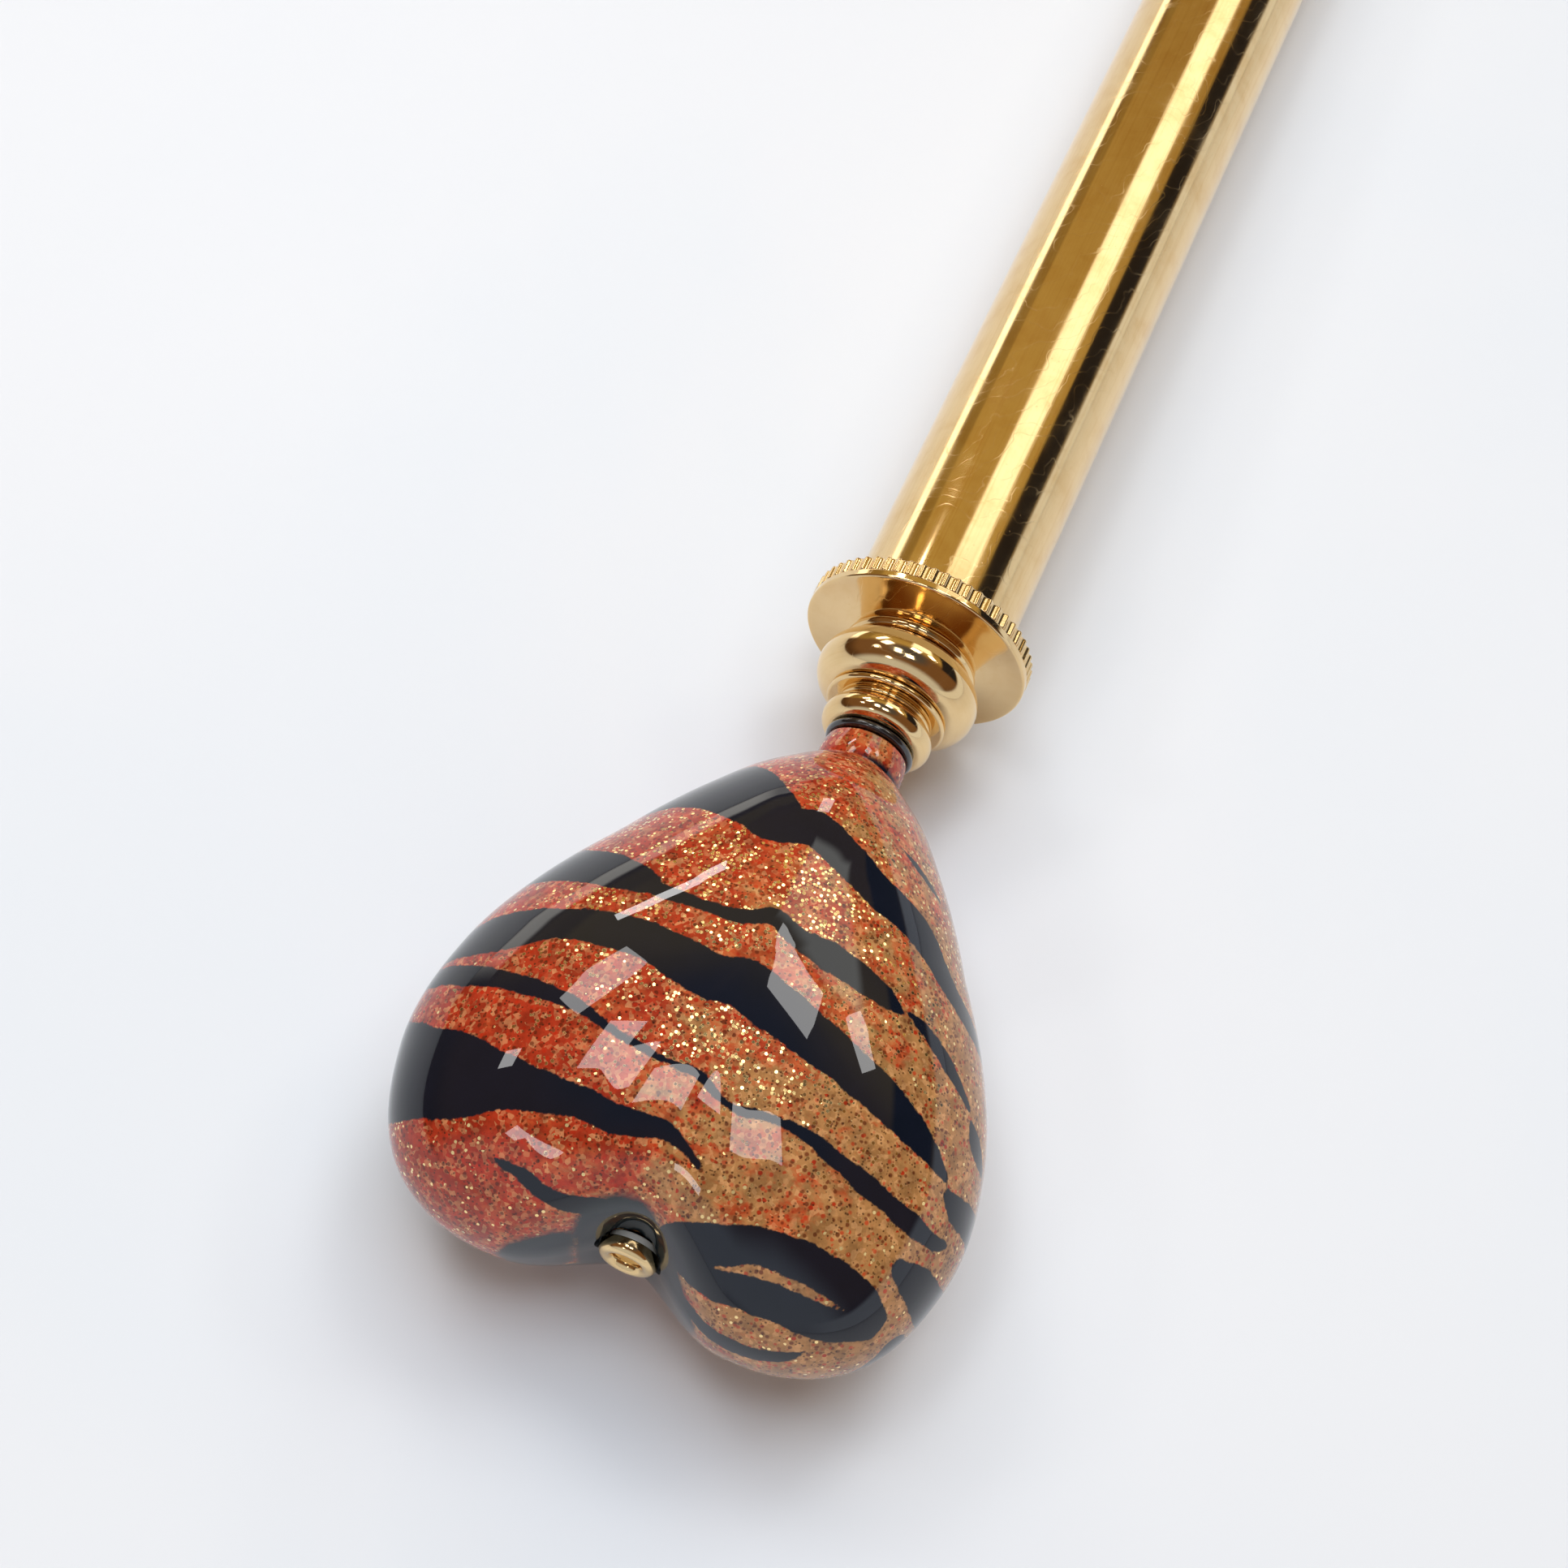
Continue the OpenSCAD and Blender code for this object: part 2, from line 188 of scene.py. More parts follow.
def fill_mesh(name, points, quads, tris):
    """A mesh from pen-millimetre points; the faces are turned round if they enclose a negative volume."""
    tris = np.asarray(tris, int).reshape(-1, 3)
    split = np.concatenate([quads[:, [0, 1, 2]], quads[:, [0, 2, 3]], tris])
    a, b, c = (points[split[:, k]] for k in range(3))
    if np.einsum("ij,ij->i", a, np.cross(b, c)).sum() < 0:
        quads, tris = quads[:, ::-1], tris[:, ::-1]
    mesh = bpy.data.meshes.new(name)
    mesh.vertices.add(len(points))
    mesh.vertices.foreach_set("co", laid(points).ravel())
    corners = np.concatenate([quads.ravel(), tris.ravel()])
    starts = np.concatenate([np.arange(len(quads)) * 4, 4 * len(quads) + np.arange(len(tris)) * 3])
    mesh.loops.add(len(corners))
    mesh.loops.foreach_set("vertex_index", corners)
    mesh.polygons.add(len(starts))
    mesh.polygons.foreach_set("loop_start", starts)
    mesh.update(calc_edges=True)
    mesh.validate()
    mesh.shade_smooth()
    return mesh


def eased(corners, steps=6):
    """An outline of (x, radius, ease) corners in millimetres, each corner rounded by a curve that starts and
    ends its ease away from the corner, with a close extra point on the straight either side. An open run
    starts and ends with corners of no ease; a closed loop may ease them all."""
    points = []
    count = len(corners)
    for i, (x, r, ease) in enumerate(corners):
        here = np.array((x, r))
        if ease == 0:
            points.append(here[None])
            continue
        before = np.array(corners[i - 1][:2]) - here
        after = np.array(corners[(i + 1) % count][:2]) - here
        before /= np.linalg.norm(before)
        after /= np.linalg.norm(after)
        t = np.linspace(0, 1, steps + 1)[:, None]
        curve = (1 - t) ** 2 * (before * ease) + t ** 2 * (after * ease)
        points.append(here + np.concatenate([before[None] * ease * 1.25, curve, after[None] * ease * 1.25]))
    return np.concatenate(points)


def turned(name, outline, around=160, ripple=None):
    """A solid turned about the pen's axis. Each outline point (x, r) runs round a circle, with
    r = ripple(x, r, angle) where one is given. An outline that starts and ends on the axis is closed by two
    poles; any other outline is a closed loop, as on a ring."""
    outline = np.asarray(outline, float)
    on_axis = outline[0, 1] == 0
    rows = outline[1:-1] if on_axis else outline
    angle = np.linspace(0, 2 * pi, around, endpoint=False)[None, :]
    x = np.repeat(rows[:, :1], around, axis=1)
    r = np.repeat(rows[:, 1:], around, axis=1)
    if ripple is not None:
        r = ripple(x, r, angle)
    points = np.stack([x, r * np.cos(angle), r * np.sin(angle)], -1).reshape(-1, 3)
    quads = grid_quads(len(rows), around, not on_axis, True)
    tris = np.zeros((0, 3), int)
    if on_axis:
        first, last = len(points), len(points) + 1
        points = np.concatenate([points, [[outline[0, 0], 0, 0], [outline[-1, 0], 0, 0]]])
        ring = np.arange(around)
        tris = np.concatenate([fan(ring, first), fan(ring + (len(rows) - 1) * around, last)[:, ::-1]])
    return fill_mesh(name, points, quads, tris)


def place(mesh, look, body, *nodes):
    """Puts the mesh in the scene in one finish, riding on a body and standing for its CAD nodes."""
    piece = bpy.data.objects.new(mesh.name, mesh)
    bpy.context.scene.collection.objects.link(piece)
    mesh.materials.clear()
    mesh.materials.append(finish(look))
    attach(piece, body)
    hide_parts(*nodes)


def turn_piece(name, outline, around, look, body, node, ripple=None, crease=None):
    """Turns an outline into a piece. Edges that bend by more than the crease angle stay sharp."""
    mesh = turned(name, outline, around, ripple)
    if crease:
        mesh.set_sharp_from_angle(angle=radians(crease))
    place(mesh, look, body, node)


def thread(start, end, pitch, depth):
    """A ripple that cuts a screw thread between two stations: the radius falls by depth times a triangle wave
    of x less the lead, and the cut fades out over part of a pitch at each end."""
    def cut(x, r, angle):
        phase = ((x - start) / pitch - angle / (2 * pi)) % 1.0
        wave = np.clip(np.abs(phase - 0.5) * 2.4 - 0.1, 0, 1)
        fade_out = np.clip(np.minimum(x - start, end - x) / (0.6 * pitch), 0, 1)
        return r - depth * wave * fade_out
    return cut


def pairs(x, r):
    """Outline points from their x and their radius."""
    return np.stack([x, r], -1)


def tube(start, end, inner, outer, eases, steps=6):
    """Outline of a tube with its four corners eased, from the inside of its start to the inside of its end."""
    return eased(list(zip((start, start, end, end), (inner, outer, outer, inner), eases)), steps)


def stations(start, end, count, radius):
    """Evenly spaced outline points along a straight cylinder."""
    return pairs(np.linspace(start, end, count), np.full(count, radius))


# ---------------------------------------------------------------- node helpers


class Value:
    """What a node gives out. Arithmetic on it adds Math nodes to its tree."""

    def __init__(self, socket):
        self.socket, self.tree = socket, socket.id_data

    def __add__(self, other):
        return calc("ADD", self, other)

    def __sub__(self, other):
        return calc("SUBTRACT", self, other)

    def __mul__(self, other):
        return calc("MULTIPLY", self, other)

    def __truediv__(self, other):
        return calc("DIVIDE", self, other)

    def __abs__(self):
        return calc("ABSOLUTE", self)


def tree_of(givens):
    return next(each.tree for each in givens if isinstance(each, Value))


def feed(node, sockets):
    """Gives a node's inputs a number or a colour each, or links a Value to them."""
    for key, given in sockets.items():
        if isinstance(given, Value):
            given.tree.links.new(given.socket, node.inputs[key])
        else:
            node.inputs[key].default_value = given


def put(tree, kind, sockets, result=0, **options):
    """Adds a node of that kind, feeds its inputs and gives one of its outputs."""
    node = tree.nodes.new(kind)
    for key, value in options.items():
        setattr(node, key, value)
    feed(node, sockets)
    return Value(node.outputs[result])


def calc(operation, *givens, clamp=False):
    return put(tree_of(givens), "ShaderNodeMath", dict(enumerate(givens)), operation=operation, use_clamp=clamp)


def vector(operation, sockets, result=0):
    return put(tree_of(sockets.values()), "ShaderNodeVectorMath", sockets, result, operation=operation)


def fade(value, start, end, low=0.0, high=1.0):
    """A smooth step from low at start to high at end."""
    return put(value.tree, "ShaderNodeMapRange", {"Value": value, "From Min": start, "From Max": end,
                                                  "To Min": low, "To Max": high},
               "Result", interpolation_type="SMOOTHSTEP")


def blend(factor, a, b, kind="MIX"):
    return put(tree_of((factor, a, b)), "ShaderNodeMix", {0: factor, 6: a, 7: b}, 2,
               data_type="RGBA", blend_type=kind)


def noise(place, scale, detail=2.0, roughness=0.5, distortion=0.0):
    return put(place.tree, "ShaderNodeTexNoise", {"Vector": place, "Scale": scale, "Detail": detail,
                                                  "Roughness": roughness, "Distortion": distortion})


def cells(place, scale):
    """Distance to the nearest cell's middle, and a colour of its own for each cell."""
    away = put(place.tree, "ShaderNodeTexVoronoi", {"Vector": place, "Scale": scale}, "Distance", feature="F1")
    return away, Value(away.socket.node.outputs["Color"])


def split(value, kind="XYZ"):
    """The three parts of a vector, or of a colour where kind is Color."""
    first = put(value.tree, "ShaderNodeSeparate" + kind, {0: value})
    return [Value(each) for each in first.socket.node.outputs]


def stretch(place, amounts):
    return vector("MULTIPLY", {0: place, 1: amounts})


def bump(height, strength, distance):
    """The surface's normal, tilted by a height; the distance is in metres."""
    return put(height.tree, "ShaderNodeBump", {"Height": height, "Strength": strength, "Distance": distance})


def solid(colour):
    return (*colour[:3], 1.0)


def group(name, inputs, outputs):
    """A new shader node group. Each socket is named with its default: a number, a vector of three or a colour
    of four. Returns the tree, its inputs and its output node."""
    tree = bpy.data.node_groups.new(name, "ShaderNodeTree")
    for way, sockets in (("INPUT", inputs), ("OUTPUT", outputs)):
        for label, default in sockets.items():
            kind = {1: "Float", 3: "Vector", 4: "Color"}[np.size(default)]
            socket = tree.interface.new_socket(label, in_out=way, socket_type="NodeSocket" + kind)
            socket.default_value = default
    given = {each.name: Value(each) for each in tree.nodes.new("NodeGroupInput").outputs}
    return tree, given, tree.nodes.new("NodeGroupOutput")


def use(tree, name, **sockets):
    """Places a node group, with underscores for the spaces in its inputs' names; gives its outputs by name."""
    node = tree.nodes.new("ShaderNodeGroup")
    node.node_tree = bpy.data.node_groups[name]
    feed(node, {key.replace("_", " ").title(): given for key, given in sockets.items()})
    return {each.name: Value(each) for each in node.outputs}


def material(name):
    """A new finish with a Principled shader; returns its tree and the shader."""
    made = bpy.data.materials.new(name + "_finish")
    made.use_nodes = True
    return made.node_tree, made.node_tree.nodes["Principled BSDF"]


def finish(name):
    return bpy.data.materials[name + "_finish"]


def make_pen_coordinates():
    """Object coordinates turned into the pen's own millimetres."""
    tree, _, out = group("Pen Coordinates", {}, {"Place": (0.0, 0.0, 0.0)})
    here = put(tree, "ShaderNodeTexCoord", {}, "Object")
    feed(out, {"Place": put(tree, "ShaderNodeMapping",
                            {"Vector": here, "Location": tuple(ORIGIN), "Rotation": (0, LIE, 0),
                             "Scale": (MM, MM, MM)}, vector_type="TEXTURE")})


def pen_place(tree):
    return use(tree, "Pen Coordinates")["Place"]


# What a surface group gives out
SURFACE = {"Color": (0.0, 0.0, 0.0, 1.0), "Roughness": 0.5, "Height": 0.0}


def make_plated_metal():
    """Polished plate: a base and a worn colour mixed by clouds and pinpoints of tarnish, fine drawn lines
    stretched along or round the piece, hairline scratches and finger haze in the roughness."""
    tree, given, out = group("Plated Metal", {"Plate": (0.9, 0.6, 0.2, 1), "Worn": (0.6, 0.33, 0.1, 1),
                                              "Polish": 0.08, "Line Stretch": (0.06, 9, 9), "Line Depth": 0.3,
                                              "Tarnish": 0.3}, SURFACE)
    pen = pen_place(tree)
    clouds = noise(pen, 0.55, 4, 0.6, 0.3)
    lines = noise(stretch(pen, given["Line Stretch"]), 1.0, 3, 0.6)
    haze = fade(noise(pen, 0.22, 3, 0.65, 0.8), 0.42, 0.70)
    pins = fade(cells(pen, 1.9)[0], 0.09, 0.03) * fade(noise(pen, 0.8), 0.5, 0.65)
    hair = put(tree, "ShaderNodeTexWave",
               {"Vector": pen, "Scale": 0.35, "Distortion": 22.0, "Detail": 3.0, "Detail Scale": 0.6}, "Fac",
               wave_type="BANDS", bands_direction="DIAGONAL")
    hair = fade(hair, 0.985, 1.0)
    worn = fade(clouds, 0.35, 0.8) * 0.55 + fade(lines, 0.45, 0.75) * 0.30 + pins
    worn = calc("MULTIPLY", worn, given["Tarnish"], clamp=True)
    rough = given["Polish"] + haze * 0.06 + lines * 0.05 + pins * 0.25
    feed(out, {"Color": blend(worn, given["Plate"], given["Worn"]),
               "Roughness": calc("ADD", rough, hair * 0.10, clamp=True),
               "Height": lines * given["Line Depth"] - hair * 0.4 - pins * 0.8})


def make_moulded():
    """Moulded or cast stock: faint clouds in the colour, a fine grain and sparse dust pits."""
    tree, given, out = group("Moulded Stock", {"Base": (0.02, 0.02, 0.02, 1), "Dust": (0.3, 0.3, 0.3, 1),
                                               "Sheen Level": 0.4, "Grain": 6.0}, SURFACE)
    pen = pen_place(tree)
    grain = noise(pen, given["Grain"], 4, 0.65)
    dust = fade(cells(pen, 2.6)[0], 0.10, 0.02) * 0.5
    feed(out, {"Color": blend(dust + noise(pen, 0.9, 3, 0.6) * 0.08, given["Base"], given["Dust"]),
               "Roughness": calc("ADD", given["Sheen Level"], grain * 0.2, clamp=True),
               "Height": grain - dust})


# ---------------------------------------------------------------- finishes


def plated(name, plate, worn, polish, line_stretch, line_depth, tarnish, relief):
    """Gold plate or brass: a metallic shader fed by the plated metal group, its relief in millimetres."""
    tree, shader = material(name)
    metal = use(tree, "Plated Metal", plate=solid(plate), worn=solid(worn), polish=polish,
                line_stretch=line_stretch, line_depth=line_depth, tarnish=tarnish)
    feed(shader, {"Base Color": metal["Color"], "Roughness": metal["Roughness"],
                  "Normal": bump(metal["Height"], 0.35, relief * MM), "Metallic": 1.0})


def moulded(name, base, dust, sheen, grain, coat=0.0, transmission=0.0):
    """Rubber, silicone or black gloss: a plain shader fed by the moulded stock group."""
    tree, shader = material(name)
    stock = use(tree, "Moulded Stock", base=solid(base), dust=solid(dust), sheen_level=sheen, grain=grain)
    feed(shader, {"Base Color": stock["Color"], "Roughness": stock["Roughness"],
                  "Normal": bump(stock["Height"], 0.4, 0.01 * MM), "Coat Weight": coat,
                  "Coat Roughness": 0.04, "Transmission Weight": transmission})


def heart_glass(heart):
    """Cased glass: red to tan glass full of specks and flakes, dark stripes from the stripe attribute, painted
    shade in the cleft and in the crease at the neck, and a clear glossy casing over it all as the coat."""
    tree, shader = material("striped_glass")
    pen = pen_place(tree)
    along, across, _ = split(pen)

    # where the glass is red, orange or tan: across the heart, with a slow wander and short streaks
    wander = noise(pen, 0.16, 3, 0.55, 0.6)
    streak = noise(stretch(pen, (1.0, 0.55, 1.0)), 0.8, 4, 0.65, 0.5)
    warm = across * -0.055 + 0.47 + (along - HEART_X) * -0.006 + (wander - 0.5) * 1.1 + (streak - 0.5) * 2.1
    body = blend(fade(warm, 0.18, 0.55), solid(heart.red), solid(heart.orange))
    body = blend(fade(warm, 0.45, 0.85), body, solid(heart.tan))

    # grains of frit: each cell is a little lighter, some are brown, some bright red, with finer dark specks
    away, own = cells(pen, 4.4)
    lighter, brown, bright = split(own, "Color")
    grain = fade(away, 0.62, 0.34)
    away, own = cells(pen, 7.5)
    speck = fade(split(own, "Color")[0], 0.76, 0.84) * fade(away, 0.55, 0.30)
    for mask, colour in ((fade(lighter, 0.50, 1.0, 0.0, 0.50), (0.80, 0.40, 0.16)),
                         (grain * fade(brown, 0.72, 0.84, 0.0, 0.80), (0.13, 0.016, 0.003)),
                         (grain * fade(bright, 0.78, 0.86, 0.0, 0.70), (0.52, 0.022, 0.004)),
                         (speck * 0.80, (0.05, 0.014, 0.004))):
        body = blend(mask, body, solid(colour))
    mottle = fade(noise(pen, 1.1, 4, 0.65), 0.32, 0.66, 0.66, 1.14)
    grey = put(tree, "ShaderNodeCombineColor", {0: mottle, 1: mottle, 2: mottle})
    body = blend(1.0, body, grey, "MULTIPLY")

    # stripes: the signed distance to them, with a wandering edge, and painted shade in the crease at the neck
    stripe = put(tree, "ShaderNodeAttribute", {}, "Fac", attribute_name="stripe_distance")
    cleft = put(tree, "ShaderNodeAttribute", {}, "Fac", attribute_name="cleft_distance")
    ragged = noise(pen, 0.55) * 0.40 + noise(pen, 4.0) * 0.20 - 0.30
    # painted shade: the crease where the neck meets the heart is darkened toward the right of the pen
    crease = abs(along + (ragged + 8.75))
    dark = calc("MAXIMUM", fade(stripe + ragged, 0.05, -0.05), fade(crease, 0.60, 0.30) * fade(across, 0.9, -0.6))
    # painted shade: the glass is darkened to slate round the cleft lines, for the shade in the cleft
    cleft_shade = fade(cleft + ragged, 0.35, -0.25)
    night = blend(noise(pen, 0.7, 3), solid(heart.stripe), solid((0.006, 0.008, 0.017)))
    night = blend(cleft_shade, night, solid(heart.cleft))
    dark = calc("MAXIMUM", dark, cleft_shade)

    # flakes: thin metallic platelets, each tilted its own way, in loose drifts that thin out from the crown
    away, own = cells(pen, heart.glitter_size)
    crown = vector("DISTANCE", {0: pen, 1: (-22.0, 0.5, 8.0)}, "Value")
    drift = fade(noise(pen, 0.42, 3, 0.6), 0.36, 0.66, 0.12, 0.50) * fade(crown, 6.0, 13.5, 1.15, 0.20)
    shine = calc("LESS_THAN", split(own, "Color")[0], drift) * fade(away, 0.52, 0.40)
    shine = shine * calc("SUBTRACT", 1.0, dark)
    tilt = vector("SCALE", {0: vector("SUBTRACT", {0: own, 1: (0.5, 0.5, 0.5)}), 3: shine * 0.42})
    facing = vector("ADD", {0: put(tree, "ShaderNodeNewGeometry", {}, "Normal"), 1: tilt})

    colour = blend(dark, blend(shine, body, solid(heart.glitter)), night)
    feed(shader, {"Base Color": colour, "Metallic": shine, "Roughness": fade(shine, 0.0, 1.0, 0.5, 0.17),
                  "Normal": vector("NORMALIZE", {0: facing}), "Specular IOR Level": 0.03,
                  "Coat Weight": 1.0, "Coat Roughness": 0.015, "Coat IOR": 1.52})


def nib_glass(nib):
    """Clear drawn glass with a slight tint, faint cords in it and a fire-polished skin."""
    tree, shader = material("nib_glass")
    pen = pen_place(tree)
    cords = noise(stretch(pen, (0.12, 2.2, 2.2)), 1.0, 3, 0.6, 0.4)
    colour = blend(fade(cords, 0.35, 0.75), solid(nib.glass), solid((0.86, 0.96, 0.94)))
    feed(shader, {"Base Color": colour, "Roughness": noise(pen, 1.4, 4, 0.6) * 0.04,
                  "Normal": bump(cords, 0.25, 0.01 * MM), "Transmission Weight": 1.0, "IOR": 1.5})


def make_finishes():
    """Every finish of the pen, once."""
    make_pen_coordinates()
    make_plated_metal()
    make_moulded()
    pen = settings()
    gold, worn, polish = pen.barrel.gold, pen.barrel.deep_gold, pen.barrel.polish
    # how the drawn lines are stretched: round a turned piece, or along the drawn tube
    turned_lines, drawn_lines = (9.0, 0.25, 0.25), (0.05, 8.0, 8.0)
    plated("gold_barrel", gold, worn, polish, drawn_lines, 0.6, 0.75, 0.006)
    plated("gold_polished", gold, worn, polish * 0.8, turned_lines, 0.35, 0.40, 0.004)
    plated("gold_milled", gold, worn, polish * 1.6, turned_lines, 0.6, 0.75, 0.008)
    plated("gold_grip", gold, worn, polish * 1.2, turned_lines, 0.6, 0.45, 0.006)
    plated("brass_turned", (0.72, 0.50, 0.20), (0.33, 0.19, 0.07), 0.22, turned_lines, 1.0, 0.8, 0.010)
    moulded("black_gloss", pen.finial.black, (0.05, 0.05, 0.055), 0.10, 5.0, coat=1.0)
    moulded("rubber_black", (0.012, 0.012, 0.013), (0.10, 0.10, 0.10), 0.55, 9.0)
    moulded("silicone_clear", (0.72, 0.70, 0.64), (0.9, 0.9, 0.86), 0.30, 4.0, transmission=0.35)
    heart_glass(pen.heart)
    nib_glass(pen.nib)


# ---------------------------------------------------------------- barrel and finial

# Radii of the tie rod, of the rings pressed on it and of the holes that turn on it
ROD_R = 1.2
HOLE_R = 1.28
# Where the rear plug's flange and the barrel tube start
PLUG_FACE, TUBE_FACE = 0.45, 1.35


def rim_ring(x, thickness, radius, hole, ease):
    """Outline of a flat ring from x - thickness to x: its rim is a half circle and its hole has eased edges."""
    turn = np.linspace(-pi / 2, pi / 2, 21)
    half, foot = thickness / 2, radius - thickness * 0.6
    rim = pairs(x - half + half * np.sin(turn), radius - half + half * np.cos(turn))
    return np.concatenate([rim, eased([(x, foot, 0.0), (x, hole, ease), (x - thickness, hole, ease),
                                       (x - thickness, foot, 0.0)], 3)])


def bead_outline(x, radius, half, hole):
    """Outline of a bead: the rim is a half circle and each face a flat that eases into the hole."""
    turn = np.linspace(-pi / 2, pi / 2, 41)
    rim = pairs(x + half * np.sin(turn), radius - half + half * np.cos(turn))
    # a face from the rim to the hole, by distance in from the face
    face = np.array([(0.0, radius - half - 0.05), (0.0, hole + 0.12), (0.03, hole + 0.03), (0.12, hole)])
    front = face * (-1, 1) + (x + half, 0)
    back = face * (1, 1) + (x - half, 0)
    return np.concatenate([rim, front, back[::-1]])


class DIPPEN_OT_barrel(bpy.types.Operator):
    """Barrel tube with its eased ends"""
    bl_idname = "dippen.barrel"
    bl_label = "Barrel Tube"

    def execute(self, context):
        barrel = settings().barrel
        start, radius = barrel.start / MM, barrel.radius / MM
        end, inner = start + barrel.tube_length / MM, radius - barrel.wall / MM
        turn_piece("barrel_tube_drawn", tube(start, end, inner, radius, (0.08, 0.10, 0.15, 0.12)), 224,
                   "gold_barrel", "barrel", "barrel_tube")
        return {"FINISHED"}


class DIPPEN_OT_flange(bpy.types.Operator):
    """Flange disc with its cove, milled ring and bead collar"""
    bl_idname = "dippen.flange"
    bl_label = "Flange"

    def execute(self, context):
        finial = settings().finial
        radius = finial.flange_radius / MM
        # the cove falls from the rim to its foot along an arc of a large circle
        edge, foot, rise = radius - 0.4, 3.3, 0.45
        arc = ((edge - foot) ** 2 + rise ** 2) / (2 * rise)
        r = np.linspace(edge - 0.05, foot, 26)
        cove = pairs(-arc + np.sqrt(arc ** 2 - (edge - r) ** 2), r)
        rim = eased([(PLUG_FACE, ROD_R, 0.0), (PLUG_FACE, radius, 0.06), (0.0, radius, 0.13), (0.0, edge, 0.0)])
        outline = np.concatenate([rim, cove, [[-rise, foot - 0.04], [-rise, ROD_R]]])
        turn_piece("flange_disc", outline, 192, "gold_polished", "barrel", "flange_cove", crease=40)

        milled, count, inner = finial.milled_radius / MM, finial.notches, 3.0
        notch_depth, notch_width = 0.13, 0.36

        def notched(x, r, angle):
            """Round notches cut into the rim, deepest in the middle of each."""
            phase = (angle * count / (2 * pi)) % 1.0 - 0.5
            tooth = np.sqrt(np.clip(1 - (phase / notch_width) ** 2, 0, 1))
            return r - notch_depth * tooth * np.clip((r - milled + 0.5) / 0.3, 0, 1)

        start, end = PLUG_FACE + 0.01, TUBE_FACE
        outline = tube(start, end, inner, milled, (0.0, 0.07, 0.12, 0.0), 4)
        outline = np.concatenate([outline[:1], [[start, milled - 0.5], [start, milled - 0.2]], outline[1:-1],
                                  [[end, milled - 0.3], [end, milled - 0.5]], outline[-1:]])
        turn_piece("milled_edge", outline, count * 12, "gold_milled", "barrel", "milled_ring", notched, 50)
        turn_piece("bead_collar_ring", rim_ring(-0.49, 0.58, 3.7, ROD_R, 0.05), 144, "gold_polished", "barrel",
                   "bead_collar")
        return {"FINISHED"}


class DIPPEN_OT_beads(bpy.types.Operator):
    """The two turning beads, the two rings between them and the black neck ring"""
    bl_idname = "dippen.beads"
    bl_label = "Beads and Rings"

    def execute(self, context):
        finial = settings().finial
        for name, x, radius, half, around in (
                ("large_bead", -2.56, finial.large_bead_radius / MM, 1.45, 176),
                ("small_bead", -5.49, finial.small_bead_radius / MM, 0.78, 160)):
            turn_piece(name + "_ball", bead_outline(x, radius, half, HOLE_R), around, "gold_polished", name, name)
        for name, x, thickness, radius, ease, look, node in (
                ("spacer_ring_large", -4.05, 0.34, 3.3, 0.04, "gold_polished", "ring_large"),
                ("spacer_ring_small", -4.39, 0.28, 2.6, 0.04, "gold_polished", "ring_small"),
                ("black_neck_ring", -6.31, 0.45, 2.42, 0.05, "black_gloss", "neck_washer")):
            turn_piece(name, rim_ring(x, thickness, radius, ROD_R, ease), 128, look, "barrel", node)
        return {"FINISHED"}


# ---------------------------------------------------------------- heart

# Distance from the heart's thickest point to its outline, by the angle from the neck
OUTLINE_ANGLES = np.array([0, 15, 30, 45, 60, 80, 100, 120, 140, 160, 180])
OUTLINE_RADII = 0.9997 * np.array([16.1, 14.6, 12.9, 11.9, 11.6, 12.4, 14.2, 16.5, 18, 16.4, 12.3])
# How full the flank is: the power of the latitude's cosine that draws the outline in
ROUNDING = 0.91
# The notch between the lobes: how far it is filled at the crown, and its half width in degrees
NOTCH_FILL, NOTCH_HALF = 2.9, 28


def curve_through(p0, p1, p2, p3, t):
    """Catmull-Rom curve from p1 to p2 as t runs from 0 to 1."""
    return (p1 + t * (p2 - p0) / 2 + t ** 2 * (p0 - 2.5 * p1 + 2 * p2 - p3 / 2)
            + t ** 3 * (1.5 * (p1 - p2) + (p3 - p0) / 2))


def outline_radius(angle):
    """The curve through the outline's radii, mirrored at the neck and the cleft."""
    folded = np.abs(angle)
    padded = np.concatenate([OUTLINE_RADII[1:2], OUTLINE_RADII, OUTLINE_RADII[-2:-1]])
    span = np.clip(np.searchsorted(OUTLINE_ANGLES, folded, "right") - 1, 0, len(OUTLINE_RADII) - 2)
    t = (folded - OUTLINE_ANGLES[span]) / (OUTLINE_ANGLES[span + 1] - OUTLINE_ANGLES[span])
    return curve_through(*(padded[span + k] for k in range(4)), t)


def heart_point(angle, latitude, half_thickness):
    """A point of the heart in pen millimetres: the outline's radius at that angle, with the notch filled toward
    the crown, drawn in by a power of the latitude's cosine and raised by its sine. Angles in degrees."""
    t = np.clip((np.abs(latitude) - 5) / 50, 0, 1)
    gap = np.minimum(180 - np.abs(angle), NOTCH_HALF)
    notch = NOTCH_FILL * (1 + np.cos(np.pi * gap / NOTCH_HALF)) / 2 * t * t * (3 - 2 * t)
    radius = (outline_radius(angle) + notch) * np.cos(np.radians(latitude)) ** ROUNDING
    turn = np.radians(angle)
    return np.stack([HEART_X + radius * np.cos(turn), radius * np.sin(turn),
                     half_thickness * np.sin(np.radians(latitude))], -1)


